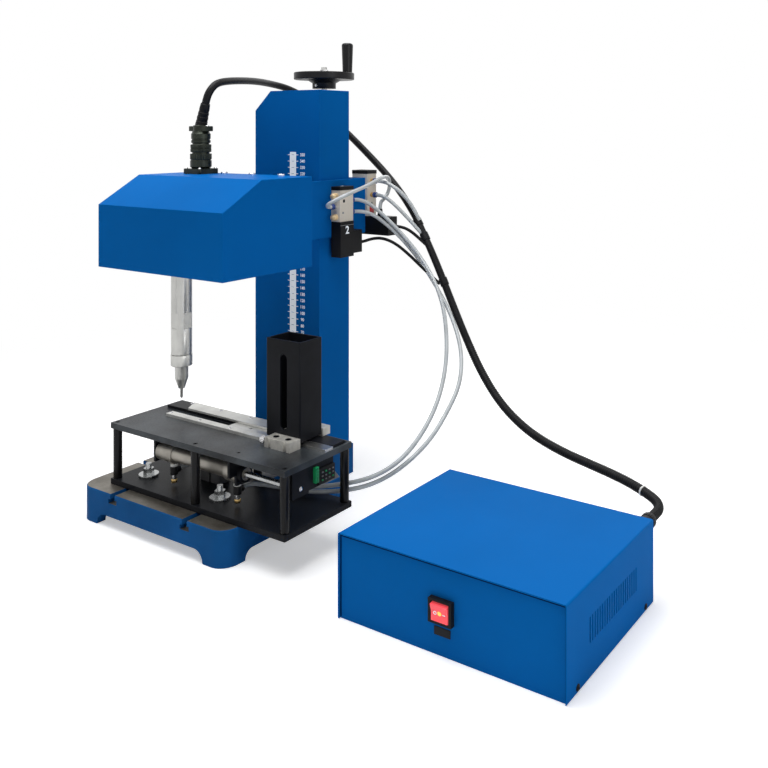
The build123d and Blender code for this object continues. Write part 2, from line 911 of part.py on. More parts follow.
# Stage frame inside the hood: a back plate with a top flange and two cheeks
with BuildPart() as stage_frame:
    block((-stage_half, stage_half), (stage_face, stage_back),
          (hood_bottom + stage_plate_lift, hood_ceiling))
    block((-stage_half, stage_half), (stage_face - stage_flange_depth, stage_face),
          (hood_ceiling - stage_flange, hood_ceiling))
    cheek = [
        (stage_face, cheek_bottom), (stage_front, cheek_bottom),
        (stage_front, cheek_bottom + stage_cheek_height),
        (stage_face - stage_tail_depth, cheek_bottom + stage_cheek_height),
        (stage_face - stage_tail_depth, cheek_bottom + stage_tail_height),
        (stage_face, cheek_bottom + stage_tail_height),
    ]
    side_profile(cheek, (-stage_half, -stage_half + stage_plate))
    side_profile(cheek, (stage_half - stage_plate, stage_half))
    for rod_y in (back_rod_y, front_rod_y):
        crossbar((-stage_half, stage_half), rod_y, x_rod_z, x_rod_radius + seat_gap, Mode.SUBTRACT)
    crossbar((-stage_half, -stage_half + stage_plate), x_screw_y, x_screw_z,
             x_screw_radius + running_gap, Mode.SUBTRACT)

with BuildPart() as x_rods:
    for rod_y in (back_rod_y, front_rod_y):
        crossbar((-stage_half, stage_half), rod_y, x_rod_z, x_rod_radius)

# Gantry: two blocks that slide on the cross rods, a lug for the short screw, and the nut arm
with BuildPart() as gantry_blocks:
    for rod_y in (back_rod_y, front_rod_y):
        block(gantry_x, (rod_y - gantry_depth / 2, rod_y + gantry_depth / 2), (gantry_low, gantry_high))
        crossbar(gantry_x, rod_y, x_rod_z, x_rod_radius + running_gap, Mode.SUBTRACT)
    for rod_x in y_rod_xs:
        deepbar(rod_x, y_rod_y, x_rod_z, y_rod_radius + seat_gap, Mode.SUBTRACT)
    lug_y = (gantry_front - front_lug_depth, gantry_front)
    block((stylus_x - lug_width / 2, stylus_x + lug_width / 2), lug_y,
          (gantry_high, gantry_high + front_lug_height))
    deepbar(stylus_x, lug_y, y_screw_z, y_screw_radius + running_gap, Mode.SUBTRACT)
    arm_left = stylus_x - x_arm_offset - x_arm_width
    arm_low = gantry_high + x_arm_lift
    arm_back = x_screw_y + x_arm_half
    arm_top = x_screw_z + x_arm_top
    side_profile(
        [(gantry_back, gantry_high), (gantry_back, arm_low), (x_screw_y - x_arm_half, arm_low),
         (x_screw_y - x_arm_half, arm_top), (arm_back, arm_top), (arm_back, arm_low + x_arm_thickness),
         (back_rod_y, arm_low + x_arm_thickness), (back_rod_y, gantry_high)],
        (arm_left, arm_left + x_arm_width),
    )
    crossbar((arm_left, arm_left + x_arm_width), x_screw_y, x_screw_z, x_screw_radius + running_gap,
             Mode.SUBTRACT)

with BuildPart() as y_rods:
    for rod_x in y_rod_xs:
        deepbar(rod_x, y_rod_y, x_rod_z, y_rod_radius)

y_motor_y = (back_rod_y - gantry_depth / 2 - y_motor_overhang,
             back_rod_y - gantry_depth / 2 - y_motor_overhang + y_motor_size)
with BuildPart() as y_motor:
    block((stylus_x - y_motor_size / 2, stylus_x + y_motor_size / 2), y_motor_y,
          (gantry_high, gantry_high + y_motor_size), motor_corner)

with BuildPart() as y_screw:
    deepbar(stylus_x, (gantry_front - y_screw_seat, y_motor_y[0]), y_screw_z, y_screw_radius)

x_motor_right = stage_half - stage_plate
with BuildPart() as x_motor:
    with BuildSketch(sideways(x_motor_right - x_motor_size)) as x_motor_outline:
        with Locations((x_screw_y, x_screw_z)):
            RectangleRounded(x_motor_size, x_motor_size, motor_corner)
    extrude(x_motor_outline.sketch, amount=x_motor_size)

with BuildPart() as x_screw:
    crossbar((-stage_half + stage_plate - x_screw_seat, x_motor_right - x_motor_size), x_screw_y,
             x_screw_z, x_screw_radius)

with BuildPart() as stylus_holder:
    block(gantry_x, holder_y, (holder_low, holder_high))
    for rod_x in y_rod_xs:
        deepbar(rod_x, holder_y, x_rod_z, y_rod_radius + running_gap, Mode.SUBTRACT)
    pillar(stylus_x, stylus_y, (holder_low, stylus_top), stylus_radius + seat_gap, Mode.SUBTRACT)
    nut_lug_y = (stylus_y - lug_depth / 2, stylus_y + lug_depth / 2)
    block((stylus_x - lug_width / 2, stylus_x + lug_width / 2), nut_lug_y,
          (holder_high, holder_high + lug_height))
    deepbar(stylus_x, nut_lug_y, y_screw_z, y_screw_radius + running_gap, Mode.SUBTRACT)

# Stylus: a turned body with spanner flats, a nose, and the pin that strikes through it
with BuildPart() as stylus_body:
    turned(stylus_x, stylus_y, [
        (0, stylus_bottom), (stylus_radius - stylus_edge, stylus_bottom),
        (stylus_radius, stylus_bottom + stylus_edge), (stylus_radius, stylus_top), (0, stylus_top),
    ])
    flat_low = stylus_bottom + stylus_flat_lift
    with BuildSketch(level(flat_low)) as flats:
        with Locations((stylus_x, stylus_y)):
            Circle(stylus_radius + overrun)
            Rectangle(2 * (stylus_radius - stylus_flat_depth), 2 * (stylus_radius - stylus_flat_depth),
                      mode=Mode.SUBTRACT)
    extrude(flats.sketch, amount=stylus_flat_height, mode=Mode.SUBTRACT)

with BuildPart() as stylus_nose:
    pin_bore = pin_radius + running_gap
    turned(stylus_x, stylus_y, [
        (pin_bore, nose_tip), (nose_tip_radius, nose_tip),
        (nose_shoulder_radius, nose_tip + nose_taper), (nose_shoulder_radius, nose_shoulder),
        (nose_collar_radius - nose_edge, nose_shoulder), (nose_collar_radius, nose_shoulder + nose_edge),
        (nose_collar_radius, stylus_bottom), (nose_chamber_radius, stylus_bottom),
        (nose_chamber_radius, chamber_floor), (pin_bore, chamber_floor),
    ])

with BuildPart() as marking_pin:
    head_radius = nose_chamber_radius - running_gap
    pin_tip = nose_tip - pin_stand
    turned(stylus_x, stylus_y, [
        (0, pin_tip), (pin_point_radius, pin_tip), (pin_radius, pin_tip + pin_cone),
        (pin_radius, pin_head_low), (head_radius, pin_head_low), (head_radius, pin_head_top),
        (0, pin_head_top),
    ])

with BuildPart() as pin_spring:
    turned(stylus_x, stylus_y, [
        (spring_inner_radius, chamber_floor), (spring_outer_radius, chamber_floor),
        (spring_outer_radius, pin_head_low), (spring_inner_radius, pin_head_low),
    ])

# Round connector on the hood: a flanged receptacle, and the plug with its leaning boot
plug_low = hood_top + flange_thickness
plug_ring_low = plug_low + plug_body_height
plug_back_low = plug_ring_low + plug_ring_height
clamp_low = plug_back_low + plug_back_height
plug_end = clamp_low + plug_clamp_height
boot_right = math.sin(math.radians(boot_lean))
boot_up = math.cos(math.radians(boot_lean))
with BuildPart() as connector_receptacle:
    block((plug_x - flange_size / 2, plug_x + flange_size / 2),
          (plug_y - flange_size / 2, plug_y + flange_size / 2), (hood_top, plug_low), flange_corner)
    pillar(plug_x, plug_y, (hood_top - receptacle_drop, hood_top), receptacle_radius)

with BuildPart() as connector_plug:
    groove_radius = plug_back_radius - plug_groove
    turned(plug_x, plug_y, [
        (0, plug_low), (plug_body_radius - plug_body_foot, plug_low),
        (plug_body_radius, plug_low + plug_body_foot), (plug_body_radius, plug_ring_low - plug_groove),
        (groove_radius, plug_ring_low - plug_groove), (groove_radius, plug_ring_low),
        (plug_ring_radius, plug_ring_low), (plug_ring_radius, plug_back_low - plug_groove),
        (groove_radius, plug_back_low - plug_groove), (groove_radius, plug_back_low),
        (plug_back_radius, plug_back_low), (plug_back_radius, clamp_low), (0, clamp_low),
    ])
    block((plug_x - plug_clamp_width / 2, plug_x + plug_clamp_width / 2),
          (plug_y - plug_clamp_depth / 2, plug_y + plug_clamp_depth / 2), (clamp_low, plug_end),
          flange_corner)
    with BuildSketch(Plane(origin=(column_x + plug_x, column_y + plug_y, plug_end),
                           z_dir=(boot_right, 0, boot_up))) as boot:
        Circle(boot_radius)
    extrude(boot.sketch, amount=boot_length)
    pillar(plug_x, plug_y, (clamp_low, plug_end + plug_groove), boot_radius)

# Work table: two plates on six posts
post_xs = (table_left + post_inset, middle_post_x, table_x[1] - post_inset)
post_ys = (table_front + post_inset, table_y[1] - post_inset)
post_places = [(x, y) for x in post_xs for y in post_ys]
hold_places = [(-slot_offset, hold_y), (slot_offset, hold_y)]
with BuildPart() as table_bottom_plate:
    block(table_x, table_y, (base_height, plate_low))
    chamfer(table_bottom_plate.edges().filter_by(Axis.Z), table_edge)
    with BuildSketch(level(base_height)) as hold_slots:
        with Locations(*hold_places):
            SlotOverall(hold_slot_length, hold_slot_width)
    extrude(hold_slots.sketch, amount=table_plate, mode=Mode.SUBTRACT)

foot_bolt_x = cylinder_right + foot_bolt_inset
foot_bolt_y = cylinder_y - foot_half_width - foot_bolt_setback / 2
with BuildPart() as table_top_plate:
    block(table_x, table_y, (plate_high, table_top))
    chamfer(table_top_plate.edges().filter_by(Axis.Z), table_edge)
    block((track_slot_left, track_slot_left + track_slot_length), slot_y, (plate_high, table_top),
          mode=Mode.SUBTRACT)
    for x, y in post_places:
        pillar(x, y, (table_top - plate_screw_depth, table_top), plate_screw_radius + seat_gap,
               Mode.SUBTRACT)
    pillar(foot_bolt_x, foot_bolt_y, (plate_high, table_top), foot_bolt_radius + seat_gap, Mode.SUBTRACT)

with BuildPart() as table_posts:
    for x, y in post_places:
        pillar(x, y, (plate_low, plate_high), post_radius)

with BuildPart() as hold_down_bolts:
    slot_roof = base_height - slot_neck_depth
    washer_top = plate_low + hold_washer
    for x, y in hold_places:
        block((x - hold_head_width / 2, x + hold_head_width / 2),
              (y - hold_head_width / 2, y + hold_head_width / 2), (slot_roof - hold_head_height, slot_roof))
        pillar(x, y, (slot_roof, washer_top + hold_nut_height + hold_bolt_stand), hold_bolt_radius)
        pillar(x, y, (plate_low, washer_top), hold_washer_radius)
        nut(x, y, (washer_top, washer_top + hold_nut_height), hold_nut_across)

# Guides that steer the shuttle along the table
screw_xs = [strip_screw_left + step * strip_screw_pitch for step in range(3)]
with BuildPart() as back_guide_bar:
    block((guide_bar_left, guide_bar_left + guide_bar_length), (bar_front, bar_front + guide_bar_depth),
          (table_top, guide_top))

strip_front = bar_front - back_strip_lip
with BuildPart() as guide_strips:
    with BuildSketch(level(guide_top)) as strip_outline:
        with BuildLine():
            Polyline(
                (back_strip_left, strip_front + back_strip_depth),
                (back_strip_left + back_strip_slant, strip_front),
                (tower_left - sliding_gap, strip_front),
                (tower_left - sliding_gap, strip_front + back_strip_depth), close=True,
            )
        make_face()
    extrude(strip_outline.sketch, amount=back_strip_thickness)
    block((front_strip_left, clamp_left - sliding_gap), (strip_back - front_strip_depth, strip_back),
          (table_top, guide_top))
    back_screw_y = strip_front + back_strip_depth - back_screw_inset
    front_screw_y = strip_back - front_screw_inset
    for x in screw_xs:
        for y, top in ((back_screw_y, strip_top), (front_screw_y, guide_top)):
            pillar(x, y, (top - strip_screw_depth, top), strip_screw_radius + seat_gap, Mode.SUBTRACT)

# Shuttle: a flat bar with a shallow pocket for one plate, and the bracket that drives it
with BuildPart() as shuttle_plate:
    shuttle_top = table_top + shuttle_thickness
    block(shuttle_x, shuttle_y, (table_top, shuttle_top))
    block((tower_x[0] + tower_wall, tower_x[1] - tower_wall), shuttle_y,
          (shuttle_top - shuttle_pocket_depth, shuttle_top), mode=Mode.SUBTRACT)
    pillar(shuttle_left + shuttle_hole_inset, track_y, (table_top, shuttle_top), shuttle_hole_radius,
           Mode.SUBTRACT)

drive_x = (drive_rest, drive_rest + drive_thickness)
drive_top = plate_high - drive_top_gap
key_y = (slot_y[0] + key_gap, slot_y[1] - key_gap)
with BuildPart() as drive_bracket:
    block(drive_x, (key_y[1] - drive_width, key_y[1]), (drive_top - drive_height, drive_top))
    block(drive_x, key_y, (drive_top, table_top))

# Magazine tower that holds the stack of blank plates, between its two clamp blocks
with BuildPart() as magazine_tower:
    block(tower_x, tower_y, tower_z, tower_corner)
    block((tower_x[0] + tower_wall, tower_x[1] - tower_wall),
          (tower_y[0] + tower_wall, tower_y[1] - tower_wall), tower_z, mode=Mode.SUBTRACT)
    window_middle = (tower_left + tower_slot_left + tower_slot_width / 2,
                     tower_z[0] + tower_slot_lift + tower_slot_height / 2)
    with BuildSketch(upright(tower_front + tower_wall)) as tower_window:
        with Locations(window_middle):
            SlotOverall(tower_slot_height, tower_slot_width, rotation=90)
    extrude(tower_window.sketch, amount=tower_wall, mode=Mode.SUBTRACT)

clamp_screw_xs = (clamp_x[0] + clamp_screw_inset, clamp_x[1] - clamp_screw_inset)
front_clamp_y = (tower_front - front_clamp_depth, tower_front)
clamp_screw_y = tower_front - front_clamp_depth / 2
thumb_z = table_top + thumb_lift
with BuildPart() as magazine_clamps:
    block(clamp_x, front_clamp_y, (table_top, front_clamp_top))
    for x in (clamp_x[0] + clamp_notch_inset, clamp_x[1] - clamp_notch_inset):
        pillar(x, front_clamp_y[0], (table_top, front_clamp_top), clamp_notch_radius, Mode.SUBTRACT)
    for x in clamp_screw_xs:
        pillar(x, clamp_screw_y, (front_clamp_top - clamp_screw_sink, front_clamp_top),
               clamp_screw_radius + seat_gap, Mode.SUBTRACT)
    block(clamp_x, (tower_y[1], tower_y[1] + rear_clamp_depth), (guide_top, guide_top + rear_clamp_height))

# Screws of the table, the guides, the clamps, the terminal bracket and the control box
with BuildPart() as machine_screws:
    for x, y in post_places:
        pillar(x, y, (table_top - plate_screw_depth, table_top), plate_screw_radius)
    for x in screw_xs:
        for y, top in ((back_screw_y, strip_top), (front_screw_y, guide_top)):
            pillar(x, y, (top - strip_screw_depth, top), strip_screw_radius)
    for x in clamp_screw_xs:
        pillar(x, clamp_screw_y, (front_clamp_top - clamp_screw_sink, front_clamp_top), clamp_screw_radius)
    thumb_y = front_clamp_y[0] + thumb_knurl_radius
    crossbar((clamp_left - thumb_length, clamp_left), thumb_y, thumb_z, thumb_radius)
    crossbar((clamp_left - thumb_length - thumb_knurl, clamp_left - thumb_length), thumb_y, thumb_z,
             thumb_knurl_radius)
    pillar(foot_bolt_x, foot_bolt_y, (plate_high - foot_thickness, table_top), foot_bolt_radius)
    crossbar((skirt_left + skirt_thickness, skirt_left + skirt_thickness + skirt_screw_stand),
             skirt_screw_y, plate_high - skirt_screw_drop, skirt_screw_radius)
    for y in (box_front + box_screw_inset, box_back - box_screw_inset):
        crossbar((box_left - box_screw_stand, box_left), y, box_screw_lift, box_screw_radius)
        crossbar((box_right, box_right + box_screw_stand), y, box_screw_lift, box_screw_radius)

# Feed cylinder: a bored tube between two caps, with a threaded neck
with BuildPart() as feed_cylinder:
    barrel_axis = (column_x, column_y + cylinder_y, cylinder_z)
    with BuildSketch(Plane(origin=barrel_axis, x_dir=(1, 0, 0), z_dir=(0, -1, 0))) as barrel:
        with BuildLine():
            Polyline(
                (cylinder_left, 0), (cylinder_left, cap_radius - cap_edge),
                (cylinder_left + cap_edge, cap_radius), (barrel_left - cap_edge, cap_radius),
                (barrel_left, cap_radius - cap_edge), (barrel_left, cylinder_radius),
                (barrel_right, cylinder_radius), (barrel_right, cap_radius - cap_edge),
                (barrel_right + cap_edge, cap_radius), (cylinder_right - cap_edge, cap_radius),
                (cylinder_right, cap_radius - cap_edge), (cylinder_right, neck_radius),
                (neck_right, neck_radius), (neck_right, rod_radius + running_gap),
                (barrel_right, rod_radius + running_gap), (barrel_right, cylinder_bore),
                (barrel_left, cylinder_bore), (barrel_left, 0), close=True,
            )
        make_face()
    revolve(barrel.sketch, axis=Axis(barrel_axis, (1, 0, 0)))
    controller_xs = (barrel_left - controller_inset, cylinder_right - controller_inset)
    for x in controller_xs:
        pillar(x, cylinder_y, (cylinder_z - cap_radius - overrun, cylinder_z - cylinder_bore),
               controller_ring_radius)

with BuildPart() as piston_rod:
    crossbar((piston_left, piston_left + piston_length), cylinder_y, cylinder_z,
             cylinder_bore - running_gap)
    crossbar((piston_left + piston_length, drive_rest), cylinder_y, cylinder_z, rod_radius)

# Feet that hang the cylinder from the table top, with the nut on its neck
with BuildPart() as cylinder_feet:
    foot_y = (cylinder_y - foot_half_width, cylinder_y + foot_half_width)
    foot_low = cylinder_z - cap_radius
    block((cylinder_left - foot_thickness, cylinder_left), foot_y, (foot_low, plate_high))
    front_foot = (cylinder_right, cylinder_right + foot_thickness)
    block(front_foot, foot_y, (foot_low, plate_high))
    block((cylinder_right, cylinder_right + foot_flange_reach),
          (foot_y[0] - foot_bolt_setback, foot_y[0]), (plate_high - foot_thickness, plate_high))
    block(front_foot, (foot_y[0] - foot_bolt_setback, foot_y[0]), (cylinder_z, plate_high))
    crossbar((front_foot[1], neck_right), cylinder_y, cylinder_z, foot_nut_radius)
    crossbar((cylinder_right, neck_right), cylinder_y, cylinder_z, neck_radius + seat_gap, Mode.SUBTRACT)
    pillar(foot_bolt_x, foot_bolt_y, (plate_high - foot_thickness, plate_high), foot_bolt_radius + seat_gap,
           Mode.SUBTRACT)

controller_top = cylinder_z - cap_radius - overrun
body_top = controller_top - controller_ring
body_low = body_top - controller_body
knob_low = body_low - controller_knob
with BuildPart() as speed_controllers:
    for x in controller_xs:
        turned(x, cylinder_y, [
            (0, knob_low), (controller_knob_radius, knob_low), (controller_knob_radius, body_low),
            (controller_body_radius, body_low), (controller_body_radius, body_top),
            (controller_ring_radius, body_top), (controller_ring_radius, controller_top),
            (0, controller_top),
        ])
        deepbar(x, (cylinder_y, cylinder_y + controller_port_length),
                (body_top + body_low) / 2, controller_port_radius)

# End stop on the lower plate, and the terminal bracket under the table's right end
with BuildPart() as stop_block:
    block((stop_left, stop_left + stop_width), (stop_front, stop_front + stop_depth),
          (plate_low, plate_low + stop_height))
    groove_x = (stop_left + stop_width / 2 - stop_groove / 2, stop_left + stop_width / 2 + stop_groove / 2)
    block(groove_x, (stop_front, stop_front + stop_groove), (plate_low, plate_low + stop_height),
          mode=Mode.SUBTRACT)

skirt_x = (skirt_left, skirt_left + skirt_thickness)
skirt_back = skirt_front + skirt_depth
skirt_low = plate_high - skirt_drop
with BuildPart() as terminal_bracket:
    side_profile(
        [(skirt_front, plate_high), (skirt_front, skirt_low), (skirt_step, skirt_low),
         (skirt_step, skirt_low + skirt_step_rise), (skirt_back, skirt_low + skirt_step_rise),
         (skirt_back, plate_high)],
        skirt_x,
    )

terminal_x = (skirt_x[1], skirt_x[1] + terminal_stand)
terminal_back = terminal_front + terminal_width
with BuildPart() as terminal_connectors:
    block(terminal_x, (terminal_front, terminal_back),
          (plate_high - terminal_top - terminal_height, plate_high - terminal_top))
    block(terminal_x, (terminal_back + socket_gap, terminal_back + socket_gap + socket_width),
          (plate_high - socket_drop - socket_height, plate_high - socket_drop))

# Valves: the front one on the carriage's right side plate, the rear one on its back plate
front_override_z = front_valve_low + front_override_height
rear_override_z = rear_valve_low + rear_override_height
override_y = front_valve_y + front_override_depth
with BuildPart() as valve_bodies:
    block(valve_x, front_valve_ys, (front_valve_low, front_valve_top))
    block((valve_x[0], valve_x[1] + valve_cap_overhang),
          (front_valve_ys[0] - valve_cap_overhang, front_valve_ys[1] + valve_cap_overhang),
          (front_valve_top, front_valve_top + valve_cap))
    crossbar((valve_x[1] - override_depth, valve_x[1]), override_y, front_override_z,
             override_radius + running_gap, Mode.SUBTRACT)
    block(rear_valve_x, rear_valve_ys, (rear_valve_low, rear_valve_top))
    block((rear_valve_x[0] - valve_cap_overhang, rear_valve_x[1] + valve_cap_overhang),
          (bracket_end, rear_valve_ys[1] + valve_cap_overhang),
          (rear_valve_top, rear_valve_top + valve_cap))
    crossbar((rear_valve_x[1] - override_depth, rear_valve_x[1]), rear_middle, rear_override_z,
             override_radius + running_gap, Mode.SUBTRACT)

with BuildPart() as valve_coils:
    plug_z = front_coil_low + coil_plug_lift
    block((valve_x[0], valve_x[1] + front_coil_overhang), front_valve_ys, (front_coil_low, front_valve_low))
    block(valve_x, (front_valve_ys[1], front_valve_ys[1] + coil_plug_depth),
          (plug_z, plug_z + coil_plug_height))
    wire_z = plug_z + coil_plug_height / 2 - wire_boss_length
    plug_back = front_valve_ys[1] + coil_plug_depth
    deepbar(valve_middle, (plug_back, plug_back + wire_boss_length), wire_z, wire_boss_radius)
    coil_low = rear_valve_low - rear_coil_height
    block((rear_valve_left, rear_coil_right), rear_valve_ys, (coil_low, rear_valve_low))
    crossbar((rear_coil_right, rear_coil_right + wire_boss_length), rear_middle,
             (coil_low + rear_valve_low) / 2, wire_boss_radius)

# Push-in fittings and silencers: a body against the valve and a collar round the tube
with BuildPart() as valve_fittings:
    supply_y = front_valve_y - fitting_length
    for height in (silencer_high, silencer_low):
        deepbar(valve_middle, (front_valve_y - silencer_length, front_valve_y), front_valve_low + height,
                silencer_radius)
    deepbar(valve_middle, (supply_y, front_valve_y), front_valve_low + supply_height, fitting_radius)
    deepbar(valve_middle, (supply_y - collar_length, supply_y), front_valve_low + supply_height,
            collar_radius)
    for height in (output_high, output_low):
        fitting_back = front_valve_ys[1] + fitting_length
        deepbar(valve_middle, (front_valve_ys[1], fitting_back), front_valve_low + height, fitting_radius)
        deepbar(valve_middle, (fitting_back, fitting_back + collar_length), front_valve_low + height,
                collar_radius)
    for height in (rear_fitting_high, rear_fitting_low):
        fitting_right = rear_valve_x[1] + fitting_length
        crossbar((rear_valve_x[1], fitting_right), rear_middle, rear_valve_low + height, fitting_radius)
        crossbar((fitting_right, fitting_right + collar_length), rear_middle, rear_valve_low + height,
                 collar_radius)
    pillar(rear_coil_right - grommet_inset, rear_middle, (rear_valve_low, rear_valve_low + grommet_height),
           grommet_radius)

with BuildPart() as front_override:
    crossbar((valve_x[1] - override_depth + override_stand, valve_x[1] + override_stand), override_y,
             front_override_z, override_radius)

with BuildPart() as rear_override:
    crossbar((rear_valve_x[1] - override_depth + override_stand, rear_valve_x[1] + override_stand),
             rear_middle, rear_override_z, override_radius)

# Control box: a folded cover over a chassis with recessed end panels
with BuildPart() as box_cover:
    with BuildSketch(upright(box_back)) as cover_outline:
        with Locations(((box_left + box_right) / 2, box_height / 2)):
            Rectangle(box_width, box_height)
        fillet(cover_outline.vertices().group_by(Axis.Z)[-1], box_bend)
        with Locations(((box_left + box_right) / 2, (box_height - box_sheet) / 2)):
            Rectangle(box_width - 2 * box_sheet, box_height - box_sheet, mode=Mode.SUBTRACT)
    extrude(cover_outline.sketch, amount=box_depth)
    louvre_count = int(louvre_run / louvre_pitch) + 1
    with BuildSketch(sideways(box_left)) as louvres:
        with Locations((box_front + louvre_start + louvre_run / 2, louvre_lift + louvre_height / 2)):
            with GridLocations(louvre_pitch, 0, louvre_count, 1):
                Rectangle(louvre_width, louvre_height)
    extrude(louvres.sketch, amount=box_width, mode=Mode.SUBTRACT)

with BuildPart() as box_chassis:
    block(box_inside, (panel_front, panel_back), (0, box_sheet))
    for y in (panel_front, panel_back - box_sheet):
        block(box_inside, (y, y + box_sheet), (0, box_height - box_sheet))
    block(box_inside, (panel_front, panel_front + rail_edge), (0, box_sheet))
    for x in (box_inside[0], box_inside[1] - box_sheet):
        block((x, x + box_sheet), (panel_front, panel_back), (0, rail_edge))
    block(window_x, (panel_front, panel_front + box_sheet), window_z, mode=Mode.SUBTRACT)

with BuildPart() as control_board:
    board_x = (box_left + board_left, box_left + board_left + board_width)
    board_y = (box_front + board_front, box_front + board_front + board_depth)
    board_z = box_sheet + board_lift
    block(board_x, board_y, (board_z, board_z + board_thickness))
    for x in (board_x[0] + standoff_inset, board_x[1] - standoff_inset):
        for y in (board_y[0] + standoff_inset, board_y[1] - standoff_inset):
            pillar(x, y, (box_sheet, board_z), standoff_radius)

# Rocker switch in its bezel
with BuildPart() as switch_bezel:
    block(bezel_x, (bezel_front, panel_front), bezel_z)
    block(window_x, (panel_front, panel_front + bezel_depth), window_z)
    cavity_x = (window_x[0] + box_sheet, window_x[1] - box_sheet)
    cavity_z = (window_z[0] + box_sheet, window_z[1] - box_sheet)
    block(cavity_x, (bezel_front, panel_front + bezel_depth - box_sheet), cavity_z, mode=Mode.SUBTRACT)

rocker_z = (cavity_z[0] + cavity_z[1]) / 2
with BuildPart() as power_rocker:
    rocker_centre = (column_x + cavity_x[0] + rocker_side_gap, column_y + panel_front, rocker_z)
    lean_dir = (0, math.cos(rocker_lean), math.sin(rocker_lean))
    rocker_tips = -rocker_face - rocker_rise
    with BuildSketch(Plane(origin=rocker_centre, x_dir=lean_dir, z_dir=(1, 0, 0))) as rocker_side:
        with BuildLine():
            Polyline(
                (rocker_tips, -rocker_half), (-rocker_face, 0), (rocker_tips, rocker_half),
                (0, rocker_half), (rocker_depth, 0), (0, -rocker_half), close=True,
            )
        make_face()
    extrude(rocker_side.sketch, amount=cavity_x[1] - cavity_x[0] - 2 * rocker_side_gap)

# Cable gland on the box's rear panel
with BuildPart() as cable_gland:
    nut_end = panel_back + gland_nut
    body_end = nut_end + gland_body
    deepbar(gland_x, (panel_back, nut_end), gland_z, gland_nut_radius)
    deepbar(gland_x, (nut_end, body_end), gland_z, gland_body_radius)
    deepbar(gland_x, (body_end, body_end + gland_cap), gland_z, gland_cap_radius)


def cord(name, route, diameter):
    """Adds a tube along straight runs joined by arcs as large as the runs allow; prints their radii."""
    points = [Vector(column_x + x, column_y + y, z) for x, y, z in route]
    radii = []
    for before, corner, after in zip(points, points[1:], points[2:]):
        turn = math.radians((corner - before).get_angle(after - corner))
        shorter = min((corner - before).length, (after - corner).length)
        radii.append(bend_share * shorter / math.tan(turn / 2))
    with BuildLine() as path:
        FilletPolyline(*points, radius=radii)
    with BuildSketch(Plane(origin=points[0], z_dir=points[1] - points[0])) as section:
        Circle(diameter / 2)
    sweep(section.sketch, path=path.line)
    length = sum(edge.length for edge in path.edges())
    print(name, "length", round(length), "section times length",
          round(math.pi * diameter ** 2 / 4 * length), "radii", [round(radius) for radius in radii])


boot_runs = (boot_length, boot_length + cable_exit)
boot_points = [(plug_x + run * boot_right, plug_y, plug_end + run * boot_up) for run in boot_runs]
with BuildPart() as head_cable:
    cord("head_cable", boot_points + head_cable_route, cable_diameter)

with BuildPart() as feed_tube_high:
    cord("feed_tube_high", feed_tube_high_route, tube_diameter)

with BuildPart() as feed_tube_low:
    cord("feed_tube_low", feed_tube_low_route, tube_diameter)

with BuildPart() as valve_lines:
    cord("link_tube", link_tube_route, tube_diameter)
    cord("rear_tube_high", rear_tube_high_route, tube_diameter)
    cord("rear_tube_low", rear_tube_low_route, tube_diameter)
    cord("front_wire", front_wire_route, wire_diameter)
    cord("rear_wire", rear_wire_route, wire_diameter)

pieces = {
    "base_casting": base_casting, "column": column, "linear_rails": linear_rails,
    "screw_bearings": screw_bearings, "carriage_bracket": carriage_bracket,
    "rail_blocks": rail_blocks, "lead_nut": lead_nut, "lead_screw": lead_screw,
    "handwheel": handwheel, "crank_handle": crank_handle, "head_hood": head_hood,
    "head_screws": head_screws, "stage_frame": stage_frame, "x_rods": x_rods,
    "gantry_blocks": gantry_blocks, "y_rods": y_rods, "y_motor": y_motor, "y_screw": y_screw,
    "x_motor": x_motor, "x_screw": x_screw, "stylus_holder": stylus_holder,
    "stylus_body": stylus_body, "stylus_nose": stylus_nose, "marking_pin": marking_pin,
    "pin_spring": pin_spring, "connector_receptacle": connector_receptacle,
    "connector_plug": connector_plug, "table_bottom_plate": table_bottom_plate,
    "table_top_plate": table_top_plate, "table_posts": table_posts, "machine_screws": machine_screws,
    "hold_down_bolts": hold_down_bolts, "back_guide_bar": back_guide_bar,
    "guide_strips": guide_strips, "shuttle_plate": shuttle_plate, "drive_bracket": drive_bracket,
    "magazine_tower": magazine_tower, "magazine_clamps": magazine_clamps,
    "feed_cylinder": feed_cylinder, "piston_rod": piston_rod, "cylinder_feet": cylinder_feet,
    "speed_controllers": speed_controllers, "stop_block": stop_block,
    "terminal_bracket": terminal_bracket, "terminal_connectors": terminal_connectors,
    "valve_bodies": valve_bodies, "valve_coils": valve_coils, "valve_fittings": valve_fittings,
    "front_override": front_override, "rear_override": rear_override, "box_cover": box_cover,
    "box_chassis": box_chassis, "control_board": control_board,
    "switch_bezel": switch_bezel, "power_rocker": power_rocker, "cable_gland": cable_gland,
    "head_cable": head_cable, "feed_tube_high": feed_tube_high, "feed_tube_low": feed_tube_low,
    "valve_lines": valve_lines,
}
os.makedirs("parts", exist_ok=True)
for name, piece in pieces.items():
    piece.part.label = name
    export_step(piece.part, f"parts/{name}.step")
print(len(pieces), "pieces")
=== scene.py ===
import json
import math

import bmesh
import bpy
from mathutils import Matrix, Vector

